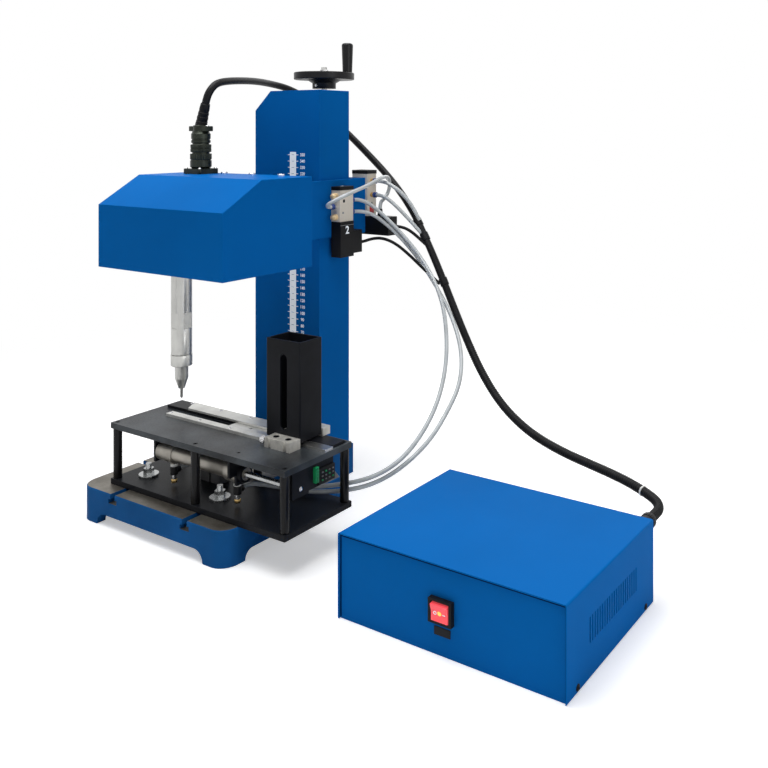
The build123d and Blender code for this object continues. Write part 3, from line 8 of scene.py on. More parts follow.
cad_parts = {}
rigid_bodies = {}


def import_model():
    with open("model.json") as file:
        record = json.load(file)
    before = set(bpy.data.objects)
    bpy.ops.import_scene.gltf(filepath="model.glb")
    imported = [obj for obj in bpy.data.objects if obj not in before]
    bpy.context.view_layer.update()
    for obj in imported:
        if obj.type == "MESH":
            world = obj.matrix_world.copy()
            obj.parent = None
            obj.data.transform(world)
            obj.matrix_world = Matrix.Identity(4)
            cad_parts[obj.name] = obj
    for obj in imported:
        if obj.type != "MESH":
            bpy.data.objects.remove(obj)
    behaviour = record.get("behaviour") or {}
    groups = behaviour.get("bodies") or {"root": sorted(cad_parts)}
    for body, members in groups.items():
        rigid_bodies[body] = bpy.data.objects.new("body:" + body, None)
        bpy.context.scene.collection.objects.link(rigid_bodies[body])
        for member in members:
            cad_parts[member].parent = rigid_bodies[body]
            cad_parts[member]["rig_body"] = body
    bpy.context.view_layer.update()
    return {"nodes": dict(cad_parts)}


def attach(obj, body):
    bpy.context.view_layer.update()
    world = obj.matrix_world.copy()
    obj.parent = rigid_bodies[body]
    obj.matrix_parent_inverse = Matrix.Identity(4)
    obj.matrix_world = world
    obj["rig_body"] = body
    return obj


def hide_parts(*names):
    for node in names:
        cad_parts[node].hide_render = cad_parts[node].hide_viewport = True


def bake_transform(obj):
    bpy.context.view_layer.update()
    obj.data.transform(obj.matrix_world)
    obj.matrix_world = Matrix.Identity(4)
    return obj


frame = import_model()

# The column's own frame in millimetres, and its place in the row frame
OFFSET_X = -242.75
OFFSET_Y = 66.276554
MM_PER_METRE = 1000
NODES = frame["nodes"]
SCENE = bpy.context.scene


def place(x, y, z):
    """A point of the column's frame, in millimetres, as a point of the row frame in metres."""
    return Vector(((x + OFFSET_X) / MM_PER_METRE, (y + OFFSET_Y) / MM_PER_METRE, z / MM_PER_METRE))


# Materials
def node(tree, kind, inputs=None, **settings):
    """A shader node, with its settings and the values of its input sockets."""
    made = tree.nodes.new(kind)
    for key, value in settings.items():
        setattr(made, key, value)
    for socket, value in (inputs or {}).items():
        made.inputs[socket].default_value = value
    return made


def wire(tree, *links):
    """Links sockets; each link is (node, output, node, input)."""
    for source, output, target, socket in links:
        tree.links.new(source.outputs[output], target.inputs[socket])


def emptied_tree(data):
    """The node tree of a material or a world, with no nodes in it."""
    data.use_nodes = True
    data.node_tree.nodes.clear()
    return data.node_tree


def ramp_between(tree, start, low, end, high):
    """A colour ramp from one colour at a noise level to another at a higher one."""
    ramp = node(tree, "ShaderNodeValToRGB")
    for element, position, color in zip(ramp.color_ramp.elements, (start, end), (low, high)):
        element.position = position
        element.color = (*color, 1)
    return ramp


# Noise levels between which a colour varies, detail of the broad and the fine noise, lowest
# roughness, and depth of the grain in metres
NOISE_LOW, NOISE_HIGH = 0.32, 0.68
BROAD_DETAIL, FINE_DETAIL = 5, 3
LEAST_ROUGH = 0.02
GRAIN_DEPTH = 0.0004


def finish_of(name, color, rough, metallic=0.0, vary=0.08, patch=9.0, grain=500.0, stretch=(1, 1, 1),
              bump=0.05, rough_span=0.08, coat=0.0, second=None, emission=None, ior=1.45, shine=0.35):
    """A procedural finish: broad colour variation, and a fine grain in roughness and bump."""
    made = bpy.data.materials.new(name)
    tree = emptied_tree(made)
    out = node(tree, "ShaderNodeOutputMaterial")
    shader = node(tree, "ShaderNodeBsdfPrincipled", {
        "Metallic": metallic, "Coat Weight": coat, "IOR": ior, "Specular IOR Level": shine})
    if emission:
        glow, strength = emission
        shader.inputs["Emission Color"].default_value = (*glow, 1)
        shader.inputs["Emission Strength"].default_value = strength
    coords = node(tree, "ShaderNodeTexCoord")
    broad = node(tree, "ShaderNodeTexNoise", {"Scale": patch, "Detail": BROAD_DETAIL})
    low = second or tuple(c * (1 - vary) for c in color)
    high = tuple(min(1, c * (1 + vary)) for c in color)
    ramp = ramp_between(tree, NOISE_LOW, low, NOISE_HIGH, high)
    mapping = node(tree, "ShaderNodeMapping", {"Scale": stretch})
    fine = node(tree, "ShaderNodeTexNoise", {"Scale": grain, "Detail": FINE_DETAIL})
    span = node(tree, "ShaderNodeMapRange", {
        "To Min": max(LEAST_ROUGH, rough - rough_span), "To Max": rough + rough_span})
    relief = node(tree, "ShaderNodeBump", {"Strength": bump, "Distance": GRAIN_DEPTH})
    wire(tree,
         (coords, "Object", broad, "Vector"), (broad, "Fac", ramp, "Fac"),
         (ramp, "Color", shader, "Base Color"),
         (coords, "Object", mapping, "Vector"), (mapping, "Vector", fine, "Vector"),
         (fine, "Fac", span, "Value"), (span, "Result", shader, "Roughness"),
         (fine, "Fac", relief, "Height"), (relief, "Normal", shader, "Normal"),
         (shader, "BSDF", out, "Surface"))
    return made


# The finishes, each with a linear colour and its roughness; patch and grain count noise cells in a metre
blue_paint = finish_of("blue_powder_coat", (0.0025, 0.126, 0.435), 0.38, vary=0.07, patch=5, grain=1400,
                       bump=0.12, shine=0.01)
box_paint = finish_of("blue_box_coat", (0.003, 0.132, 0.450), 0.40, vary=0.09, patch=4, grain=1500, bump=0.12,
                      shine=0.01)
black_metal = finish_of("black_anodised", (0.009, 0.010, 0.013), 0.40, vary=0.35, patch=16, grain=900,
                        bump=0.08, rough_span=0.12, shine=0.12)
# The table top's blue-grey colour, lighter than its black metal, is painted sheen; its blotches down to the
# darker tone are partly scuffs and partly painted sheen
table_top_painted_sheen = finish_of("black_table_top", (0.060, 0.070, 0.079), 0.36, vary=0.15, patch=15, grain=260,
                        stretch=(1, 5, 5), bump=0.08, rough_span=0.2, shine=0.22,
                        second=(0.014, 0.016, 0.019))
black_cast = finish_of("black_handwheel", (0.012, 0.012, 0.013), 0.33, vary=0.3, grain=700, bump=0.15,
                       shine=0.2)
black_plastic = finish_of("black_plastic", (0.011, 0.011, 0.012), 0.42, vary=0.25, grain=1200, bump=0.12,
                          shine=0.14)
black_gloss = finish_of("black_gloss", (0.009, 0.009, 0.010), 0.24, vary=0.25, grain=500, bump=0.03,
                        shine=0.22)
jacket = finish_of("cable_jacket", (0.010, 0.010, 0.011), 0.38, vary=0.3, patch=40, grain=900, bump=0.12,
                   shine=0.14)
ground = finish_of("ground_steel", (0.52, 0.52, 0.51), 0.3, metallic=1.0, vary=0.1, patch=22, grain=500,
                   stretch=(0.06, 1, 1), bump=0.12)
chrome = finish_of("bright_steel", (0.72, 0.72, 0.73), 0.16, metallic=1.0, vary=0.06, patch=30, grain=600,
                   bump=0.04)
turned = finish_of("turned_aluminium", (0.55, 0.55, 0.53), 0.36, metallic=1.0, vary=0.12, patch=24,
                   grain=420, stretch=(1, 1, 14), bump=0.16)
aluminium = finish_of("milled_aluminium", (0.66, 0.66, 0.63), 0.40, metallic=0.9, vary=0.14, patch=28,
                      grain=600, stretch=(0.2, 1, 1), bump=0.1)
bright_block = finish_of("bright_clamp_block", (0.66, 0.64, 0.59), 0.42, metallic=0.35, vary=0.2, patch=70,
                         grain=500, stretch=(1, 1, 8), bump=0.14, rough_span=0.12, shine=0.5)
dull_aluminium = finish_of("dull_cylinder_aluminium", (0.34, 0.32, 0.285), 0.40, metallic=0.85, vary=0.16,
                           patch=40, grain=500, stretch=(14, 1, 1), bump=0.12)
zinc = finish_of("zinc_plated_steel", (0.42, 0.43, 0.43), 0.27, metallic=1.0, vary=0.12, patch=60, grain=700,
                 bump=0.06)
dark_finned = finish_of("grey_stop_block", (0.13, 0.13, 0.135), 0.5, vary=0.2, patch=60, grain=900, bump=0.1)
brass = finish_of("brass", (0.58, 0.40, 0.16), 0.3, metallic=1.0, vary=0.12, patch=60, grain=900, bump=0.08)
sintered = finish_of("sintered_bronze", (0.82, 0.62, 0.36), 0.55, metallic=0.2, vary=0.16, patch=200,
                     grain=2500, bump=0.5)
cream = finish_of("cream_valve", (0.74, 0.68, 0.59), 0.42, metallic=0.1, vary=0.06, patch=30, grain=900,
                  bump=0.08)
olive = finish_of("olive_plating", (0.026, 0.031, 0.023), 0.34, metallic=0.55, vary=0.35, patch=50,
                  grain=900, bump=0.1)
fitting_blue = finish_of("blue_fitting", (0.025, 0.06, 0.24), 0.3, vary=0.15, patch=80, grain=900, bump=0.05)
green = finish_of("green_terminal", (0.01, 0.27, 0.09), 0.38, vary=0.12, patch=60, grain=900, bump=0.05)
grey_plastic = finish_of("grey_plastic", (0.30, 0.31, 0.31), 0.45, vary=0.12, patch=60, grain=900, bump=0.1)
board_green = finish_of("board_green", (0.01, 0.14, 0.05), 0.35, vary=0.3, patch=90, grain=900, bump=0.08)
# The white ink glows faintly though it is no lamp: painted light that brightens the figures, ticks, strip and
# dots
white_ink = finish_of("white_ink", (0.86, 0.88, 0.90), 0.5, vary=0.04, patch=80, grain=1500, bump=0.05,
                      emission=((0.8, 0.92, 1.0), 0.22))
dark_ink = finish_of("dark_ink", (0.03, 0.03, 0.035), 0.5, vary=0.2, patch=80, grain=1500, bump=0.05)
gap_shadow = finish_of("gap_shadow", (0.001, 0.014, 0.055), 0.6, vary=0.2, patch=80, grain=1500, bump=0.05,
                       shine=0.01)
tie_white = finish_of("white_tie", (0.78, 0.78, 0.76), 0.45, vary=0.06, patch=90, grain=1200, bump=0.08)
clear_tube = finish_of("clear_tube", (0.50, 0.53, 0.54), 0.14, vary=0.1, patch=60, grain=300, bump=0.0,
                       rough_span=0.04, coat=0.6, ior=1.42)
red_lens = finish_of("red_rocker", (0.88, 0.07, 0.09), 0.25, vary=0.1, patch=120, grain=700, bump=0.02,
                     coat=0.3, emission=((1.0, 0.09, 0.11), 0.45))
lamp_glow = finish_of("rocker_glow", (1.0, 0.45, 0.10), 0.3, vary=0.1, patch=200, grain=700, bump=0.02,
                      emission=((1.0, 0.55, 0.12), 0.9))
red_mark = finish_of("red_button", (0.55, 0.02, 0.02), 0.35, vary=0.12, patch=120, grain=900, bump=0.05)

# The casting's ground top: faces that look up, from this height in metres
UPWARD = 0.9
DECK_FROM = 0.034


def base_finish():
    """Blue paint on the casting's sides, darker than the column's same paint as painted shade, and a worn
    ground face on its top.
    """
    made = finish_of("base_paint_and_ground_top", (0.010, 0.098, 0.300), 0.36, vary=0.16, patch=14,
                     grain=900, bump=0.2, shine=0.02)
    tree = made.node_tree
    out = next(n for n in tree.nodes if n.type == "OUTPUT_MATERIAL")
    paint = next(n for n in tree.nodes if n.type == "BSDF_PRINCIPLED")
    metal = node(tree, "ShaderNodeBsdfPrincipled", {"Metallic": 0.85})
    coords = node(tree, "ShaderNodeTexCoord")
    stain = node(tree, "ShaderNodeTexNoise", {"Scale": 26, "Detail": 9, "Roughness": 0.65})
    ramp = ramp_between(tree, 0.3, (0.10, 0.088, 0.070), 0.7, (0.25, 0.235, 0.205))
    strokes = node(tree, "ShaderNodeMapping", {"Scale": (1, 14, 1)})
    scratch = node(tree, "ShaderNodeTexNoise", {"Scale": 90})
    span = node(tree, "ShaderNodeMapRange", {"To Min": 0.32, "To Max": 0.55})
    relief = node(tree, "ShaderNodeBump", {"Strength": 0.15, "Distance": 0.0003})
    facing = node(tree, "ShaderNodeSeparateXYZ")
    height = node(tree, "ShaderNodeSeparateXYZ")
    up = node(tree, "ShaderNodeMath", {1: UPWARD}, operation="GREATER_THAN")
    high = node(tree, "ShaderNodeMath", {1: DECK_FROM}, operation="GREATER_THAN")
    both = node(tree, "ShaderNodeMath", operation="MULTIPLY")
    mix = node(tree, "ShaderNodeMixShader")
    wire(tree,
         (coords, "Object", stain, "Vector"), (stain, "Fac", ramp, "Fac"),
         (ramp, "Color", metal, "Base Color"),
         (coords, "Object", strokes, "Vector"), (strokes, "Vector", scratch, "Vector"),
         (scratch, "Fac", span, "Value"), (span, "Result", metal, "Roughness"),
         (scratch, "Fac", relief, "Height"), (relief, "Normal", metal, "Normal"),
         (coords, "Normal", facing, "Vector"), (facing, "Z", up, 0),
         (coords, "Object", height, "Vector"), (height, "Z", high, 0),
         (up, "Value", both, 0), (high, "Value", both, 1), (both, "Value", mix, "Fac"),
         (paint, "BSDF", mix, 1), (metal, "BSDF", mix, 2), (mix, "Shader", out, "Surface"))
    return made


base_mixed = base_finish()

# CAD nodes that stay: their finish, and the width in millimetres by which their edges are rounded
NODE_FINISH = {
    "base_casting": (base_mixed, 0.8), "column": (blue_paint, 0.8), "linear_rails": (ground, 0.3),
    "screw_bearings": (aluminium, 0.5), "carriage_bracket": (blue_paint, 0.6),
    "rail_blocks": (ground, 0.5), "lead_nut": (aluminium, 0.4), "lead_screw": (ground, 0.2),
    "handwheel": (black_cast, 0.5), "head_hood": (blue_paint, 0.7),
    "stage_frame": (aluminium, 0.4), "x_rods": (chrome, 0.2), "gantry_blocks": (aluminium, 0.4),
    "y_rods": (chrome, 0.2), "y_motor": (black_metal, 0.3), "y_screw": (ground, 0.1),
    "x_motor": (black_metal, 0.3), "x_screw": (ground, 0.1), "stylus_holder": (aluminium, 0.4),
    "stylus_body": (turned, 0.3), "stylus_nose": (turned, 0.2), "marking_pin": (ground, 0.1),
    "pin_spring": (ground, 0.1), "connector_receptacle": (olive, 0.4),
    "table_bottom_plate": (black_metal, 0.5), "table_top_plate": (table_top_painted_sheen, 0.5),
    "table_posts": (black_gloss, 0.3), "hold_down_bolts": (zinc, 0.3),
    "back_guide_bar": (black_metal, 0.3), "guide_strips": (aluminium, 0.2),
    "shuttle_plate": (ground, 0.2), "drive_bracket": (black_metal, 0.3),
    "magazine_tower": (black_metal, 0.3), "magazine_clamps": (bright_block, 0.6),
    "feed_cylinder": (dull_aluminium, 0.6), "piston_rod": (zinc, 0.2), "cylinder_feet": (black_metal, 0.3),
    "stop_block": (dark_finned, 0.5), "terminal_bracket": (black_metal, 0.3),
    "valve_bodies": (cream, 0.4), "valve_coils": (black_plastic, 0.5),
    "front_override": (grey_plastic, 0.1), "rear_override": (grey_plastic, 0.1),
    "box_cover": (box_paint, 0.5), "box_chassis": (box_paint, 0.3),
    "control_board": (board_green, 0.2), "switch_bezel": (black_plastic, 0.6),
    "power_rocker": (red_lens, 0.4), "crank_handle": (black_gloss, 0.3),
}

WELD_DISTANCE = 0.000002
SHARP_ANGLE = math.radians(35)


def soften(obj, width):
    """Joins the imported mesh's split edges and rounds its sharp ones by a width in millimetres."""
    weld = obj.modifiers.new("weld", "WELD")
    weld.merge_threshold = WELD_DISTANCE
    edge = obj.modifiers.new("edges", "BEVEL")
    edge.width = width / MM_PER_METRE
    edge.segments = 2
    edge.limit_method = "ANGLE"
    edge.angle_limit = SHARP_ANGLE
    edge.harden_normals = False
    edge.use_clamp_overlap = True


for name, (finish, width) in NODE_FINISH.items():
    obj = NODES[name]
    obj.data.materials.clear()
    obj.data.materials.append(finish)
    soften(obj, width)


# Mesh helpers, in millimetres of the column's frame
def mesh_object(name, bm, finish):
    """Turns a bmesh in metres into a smooth-shaded object of the scene."""
    mesh = bpy.data.meshes.new(name)
    bmesh.ops.recalc_face_normals(bm, faces=bm.faces)
    bm.to_mesh(mesh)
    bm.free()
    mesh.materials.append(finish)
    mesh.polygons.foreach_set("use_smooth", [True] * len(mesh.polygons))
    obj = bpy.data.objects.new(name, mesh)
    SCENE.collection.objects.link(obj)
    return obj


def mesh_piece(name, bm, finish, body, smooth=40):
    """A mesh object that rides on a body, with its edges over an angle in degrees kept sharp."""
    obj = mesh_object(name, bm, finish)
    obj.data.set_sharp_from_angle(angle=math.radians(smooth))
    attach(obj, body)
    return obj


def joined(name, objs):
    """Joins pieces of one body into one, keeping each one's finish."""
    body = objs[0]["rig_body"]
    bm = bmesh.new()
    finishes = []
    for obj in objs:
        start = len(bm.faces)
        mesh = obj.data
        bm.from_mesh(mesh)
        bm.faces.ensure_lookup_table()
        own = mesh.materials[0]
        if own not in finishes:
            finishes.append(own)
        for face in bm.faces[start:]:
            face.material_index = finishes.index(own)
            face.smooth = True
        bpy.data.objects.remove(obj)
        bpy.data.meshes.remove(mesh)
    made = bpy.data.meshes.new(name)
    bm.to_mesh(made)
    bm.free()
    for own in finishes:
        made.materials.append(own)
    obj = bpy.data.objects.new(name, made)
    SCENE.collection.objects.link(obj)
    made.set_sharp_from_angle(angle=SHARP_ANGLE)
    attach(obj, body)
    return obj


AXES = {
    "z": Matrix.Identity(3),
    "x": Matrix(((0, 0, 1), (0, 1, 0), (-1, 0, 0))),
    "-x": Matrix(((0, 0, -1), (0, 1, 0), (1, 0, 0))),
    "y": Matrix(((1, 0, 0), (0, 0, 1), (0, -1, 0))),
    "-y": Matrix(((1, 0, 0), (0, 0, -1), (0, 1, 0))),
}


def ring_of(bm, origin, turn, radii, along):
    """Vertices round an axis, one for each radius, at a distance along it; one radius makes a tip."""
    sides = len(radii)
    made = []
    for k, radius in enumerate(radii):
        angle = 2 * math.pi * k / sides
        made.append(bm.verts.new(origin + turn @ Vector((
            radius * math.cos(angle) / MM_PER_METRE, radius * math.sin(angle) / MM_PER_METRE,
            along / MM_PER_METRE))))
    return made


def loft(bm, rings):
    """Faces from ring to ring."""
    for low, high in zip(rings, rings[1:]):
        sides = max(len(low), len(high))
        if sides == 1:
            continue
        for k in range(sides):
            after = (k + 1) % sides
            if len(low) == 1:
                bm.faces.new((low[0], high[k], high[after]))
            elif len(high) == 1:
                bm.faces.new((low[k], low[after], high[0]))
            else:
                bm.faces.new((low[k], low[after], high[after], high[k]))


def closed_loft(bm, rings):
    """Faces from ring to ring, and one over each end."""
    loft(bm, rings)
    bm.faces.new(rings[0][::-1])
    bm.faces.new(rings[-1])


# A knurled ring has four sides for each groove, two of them cut
RIDGE_SIDES, CUT_SIDES = 4, 2


def lathe(name, at, axis, profile, finish, body, sides=48, ridge=None):
    """A turned piece: profile of (radius, distance along the axis) in millimetres, from `at`.
    ridge = (lowest distance, highest distance, count, depth) cuts fine grooves round that stretch."""
    turn = AXES[axis] if isinstance(axis, str) else axis
    origin = place(*at)
    start, end, count, depth = ridge or (0, 0, 0, 0)
    if ridge:
        sides = count * RIDGE_SIDES
    bm = bmesh.new()
    rings = []
    for radius, along in profile:
        cut = depth if start < along < end else 0
        radii = [radius - (cut if k % RIDGE_SIDES < CUT_SIDES else 0) for k in range(sides)]
        rings.append(ring_of(bm, origin, turn, radii if radius > 0 else [0], along))
    loft(bm, rings)
    return mesh_piece(name, bm, finish, body)


def rod(radius, length):
    """The profile of a plain round bar."""
    return [(0, 0), (radius, 0), (radius, length), (0, length)]


def slab(name, low, high, finish, body, round_by=0.3):
    """A block between two corners in millimetres, with rounded edges."""
    a, b = place(*low), place(*high)
    bm = bmesh.new()
    bmesh.ops.create_cube(bm, size=1)
    for vert in bm.verts:
        vert.co = Vector(tuple(a[i] + (vert.co[i] + 0.5) * (b[i] - a[i]) for i in range(3)))
    if round_by:
        bmesh.ops.bevel(bm, geom=bm.edges[:], offset=round_by / MM_PER_METRE, segments=2,
                        affect="EDGES", profile=0.7)
    return mesh_piece(name, bm, finish, body)


NUT_EDGE = 0.6


def nut(name, at, axis, sides, across, height, finish, body):
    """A nut along an axis from `at`, with its corners chamfered."""
    radius = across / 2 / math.cos(math.pi / sides)
    levels = ((radius - NUT_EDGE, 0), (radius, NUT_EDGE), (radius, height - NUT_EDGE),
              (radius - NUT_EDGE, height))
    bm = bmesh.new()
    closed_loft(bm, [ring_of(bm, place(*at), AXES[axis], [r] * sides, along) for r, along in levels])
    return mesh_piece(name, bm, finish, body, smooth=25)


# A cap screw's head: its sides round it, its rounding and top as shares of its radius, and how the
# socket's mouth widens as a share of the socket and deep in millimetres
SCREW_SIDES = 36
HEAD_ROUNDING, HEAD_TOP = 0.12, 0.9
MOUTH_SHARE, MOUTH_DEPTH = 1.16, 0.1
HEXAGON = [1 / math.cos((2 * math.pi * k / SCREW_SIDES + math.pi / 6) % (math.pi / 3) - math.pi / 6)
           for k in range(SCREW_SIDES)]
ROUND = [1] * SCREW_SIDES


def socket_screw(name, at, axis, head, finish, body, socket=0.5, sunk=0.6):
    """A cap screw's head of (radius, height) with a six-sided socket; `at` is under its head."""
    radius, height = head
    flat = radius * socket
    levels = (
        (radius, ROUND, 0), (radius, ROUND, height - HEAD_ROUNDING * radius),
        (radius * HEAD_TOP, ROUND, height), (flat * MOUTH_SHARE, ROUND, height),
        (flat, HEXAGON, height - MOUTH_DEPTH), (flat, HEXAGON, height * (1 - sunk)))
    bm = bmesh.new()
    closed_loft(bm, [ring_of(bm, place(*at), AXES[axis], [r * share for share in shape], along)
                     for r, shape, along in levels])
    return mesh_piece(name, bm, finish, body, smooth=30)


# Cords: the routes of the solids, in millimetres of the column's frame
HEAD_CABLE = [
    (-61.475, -110, 597.427), (-57.966, -110, 608.903), (-55.6, -103.7, 620.8),
    (-56.3, -92.6, 629.2), (-62.2, -67.7, 633.8), (-76, -20, 637), (-91, 26, 638),
    (-106, 72, 636), (-106, 106, 631), (-104, 131, 623), (-93, 148, 612), (-72, 159, 595),
    (-36, 164, 567), (26, 161, 522), (90, 152, 476), (143, 142, 428), (185, 132, 371),
    (216, 124, 324), (245, 116, 278), (275, 108, 232), (307, 101, 187), (347, 93, 148),
    (398, 84, 121), (455, 74, 108), (506, 64, 103), (553, 53, 99), (587, 44, 93),
    (611, 32, 89), (620, 16, 86.5), (620, 0, 86), (620, -15, 86),
]
FEED_HIGH = [
    (85, 61, 445), (85, 79, 445), (104, 92, 433), (139.5, 101.5, 402), (172, 114, 365),
    (215, 103, 325), (245, 88, 284), (266, 66, 239), (279, 42, 201), (287, 12, 166),
    (288, -24, 134), (281, -64, 106), (257, -93, 87), (217, -110, 74), (157, -127, 62),
    (90, -134, 60), (30, -137, 60), (-2, -146, 64), (-13.5, -165, 71), (-15.4, -182, 77.5),
    (-15.4, -196, 77.5),
]
FEED_LOW = [
    (85, 61, 426), (85, 79, 426), (104, 92, 420), (140.5, 103.5, 392), (170, 122, 352),
    (211, 117, 309), (251, 103, 267), (285, 78, 224), (303, 46, 186), (303, 12, 154),
    (300, -26, 124), (281, -64, 95), (254, -93, 76), (216, -111.5, 65), (172, -134, 62),
    (138, -149, 66), (119, -166, 72), (112.6, -182, 77.5), (112.6, -196, 77.5),
]
LINK_TUBE = [
    (85, 12, 437), (85, 2, 437), (92, -6, 442), (105, 0, 450), (114, 21, 459), (113, 60, 467),
    (112, 96, 478), (107, 121, 481), (102, 136, 473), (99, 138.5, 460), (98, 134, 449),
    (98, 124, 441.5), (98, 115.5, 437), (98, 115.5, 427),
]
REAR_TUBE_HIGH = [
    (89, 115.5, 472.5), (103, 115.5, 472.5), (120, 117, 467), (138, 122, 454), (154, 130, 433),
    (163, 136, 410),
]
REAR_TUBE_LOW = [
    (89, 115.5, 449.5), (102, 115.5, 449.5), (119, 118, 440), (136, 122, 425), (155, 127, 406),
    (173, 133, 386),
]
FRONT_WIRE = [
    (85, 78, 375), (85, 89, 375), (93, 99, 379), (110, 105, 381), (132, 110, 374),
    (156, 114, 358), (184, 118, 335), (213, 122, 313),
]
REAR_WIRE = [
    (128, 115.5, 400), (140, 115.5, 400), (153, 119, 396), (166, 124, 386), (181, 131, 371),
]


def spline(name, route, radius=0.0):
    """A NURBS curve with the route's points as its control points."""
    curve = bpy.data.curves.new(name, "CURVE")
    curve.dimensions = "3D"
    curve.resolution_u = 12
    line = curve.splines.new("NURBS")
    line.points.add(len(route) - 1)
    for point, at in zip(line.points, route):
        point.co = (*place(*at), 1)
    line.order_u = 3
    line.use_endpoint_u = True
    if radius:
        curve.bevel_depth = radius / MM_PER_METRE
        curve.bevel_resolution = 6
        curve.use_fill_caps = True
    obj = bpy.data.objects.new(name, curve)
    SCENE.collection.objects.link(obj)
    return obj


def followed(route):
    """The points of the route's NURBS spline, as Blender gives them for a curve with no bevel."""
    guide = spline("guide", route)
    mesh = bpy.data.meshes.new_from_object(guide)
    points = [vert.co.copy() for vert in mesh.vertices]
    bpy.data.objects.remove(guide)
    return points


def length_of(points):
    """The length of a line through points."""
    return sum((b - a).length for a, b in zip(points, points[1:]))


def at_steps(points, step):
    """The line's points at even steps along it, both ends kept."""
    whole = length_of(points)
    count = max(2, round(whole / step))
    made, run, k = [points[0].copy()], 0.0, 0
    for index in range(1, count):
        wanted = whole * index / count
        while run + (points[k + 1] - points[k]).length < wanted:
            run += (points[k + 1] - points[k]).length
            k += 1
        piece = (points[k + 1] - points[k]).length
        made.append(points[k].lerp(points[k + 1], (wanted - run) / piece))
    made.append(points[-1].copy())
    return made


def sweep(name, points, radius_at, finish, sides=20):
    """A tube round a line; radius_at gives the radius in metres at a share of the line."""
    bm = bmesh.new()
    rings = []
    normal = None
    for k, point in enumerate(points):
        before, after = points[max(0, k - 1)], points[min(len(points) - 1, k + 1)]
        along = (after - before).normalized()
        if normal is None:
            normal = along.orthogonal().normalized()
        normal = (normal - along * normal.dot(along)).normalized()
        side = along.cross(normal)
        radius = radius_at(k / (len(points) - 1))
        rings.append([bm.verts.new(point + (normal * math.cos(a) + side * math.sin(a)) * radius)
                      for a in (2 * math.pi * s / sides for s in range(sides))])
    closed_loft(bm, rings)
    return mesh_object(name, bm, finish)


# The head cable: a smooth jacket above, a corrugated sleeve over its lower stretch; in metres
JACKET_RADIUS = 0.0058
SLEEVE_RADIUS = 0.0059
SLEEVE_START = 0.66
RIB_PITCH = 0.0032
RIB_HEIGHT = 0.00038
CABLE_STEP = RIB_PITCH / 4
cable_line = followed(HEAD_CABLE)
cable_length = length_of(cable_line)


def cable_radius(share):
    """The cable's radius at a share of its length, with the sleeve's ribs."""
    if share < SLEEVE_START:
        return JACKET_RADIUS
    phase = (share - SLEEVE_START) * cable_length / RIB_PITCH
    return SLEEVE_RADIUS + RIB_HEIGHT * math.sin(2 * math.pi * phase)


cable_points = at_steps(cable_line, CABLE_STEP)
head_cable = sweep("head_cable_jacket", cable_points, cable_radius, jacket, sides=18)
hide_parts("head_cable")
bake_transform(head_cable)

# Air tubes and coil wires; radii in millimetres, the step along a feed hose in metres
TUBE_RADIUS, WIRE_RADIUS = 3, 2.5
HOSE_STEP = 0.004
for name, route, cad in (("feed_hose_high", FEED_HIGH, "feed_tube_high"),
                         ("feed_hose_low", FEED_LOW, "feed_tube_low")):
    line = followed(route)
    hose = sweep(name, at_steps(line, HOSE_STEP), lambda share: TUBE_RADIUS / MM_PER_METRE, clear_tube)
    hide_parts(cad)
    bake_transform(hose)

for name, route, radius, finish, slot in (
        ("link_hose", LINK_TUBE, TUBE_RADIUS, clear_tube, "clear_tube"),
        ("rear_hose_high", REAR_TUBE_HIGH, TUBE_RADIUS, clear_tube, "clear_tube"),
        ("rear_hose_low", REAR_TUBE_LOW, TUBE_RADIUS, clear_tube, "clear_tube"),
        ("front_coil_lead", FRONT_WIRE, WIRE_RADIUS, jacket, "cable_jacket"),
        ("rear_coil_lead", REAR_WIRE, WIRE_RADIUS, jacket, "cable_jacket")):
    line = followed(route)
    hose = spline(name, route, radius)
    hose.data.materials.append(finish)
    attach(hose, "carriage")
    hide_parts("valve_lines")

# Radius and height of each kind of screw head, in millimetres
CLAMP_PLUG_HEAD = (2.6, 2.6)
FLANGE_HEAD = (2.3, 1.6)
HOOD_HEAD = (5, 3)
POST_HEAD = (3.5, 3)
STRIP_HEAD = (2.8, 2.1)
CLAMP_HEAD = (4.3, 4.5)
FOOT_HEAD = (2.5, 2.5)
TERMINAL_HEAD = (3, 2)
HUB_HEAD = (2.4, 1.2)

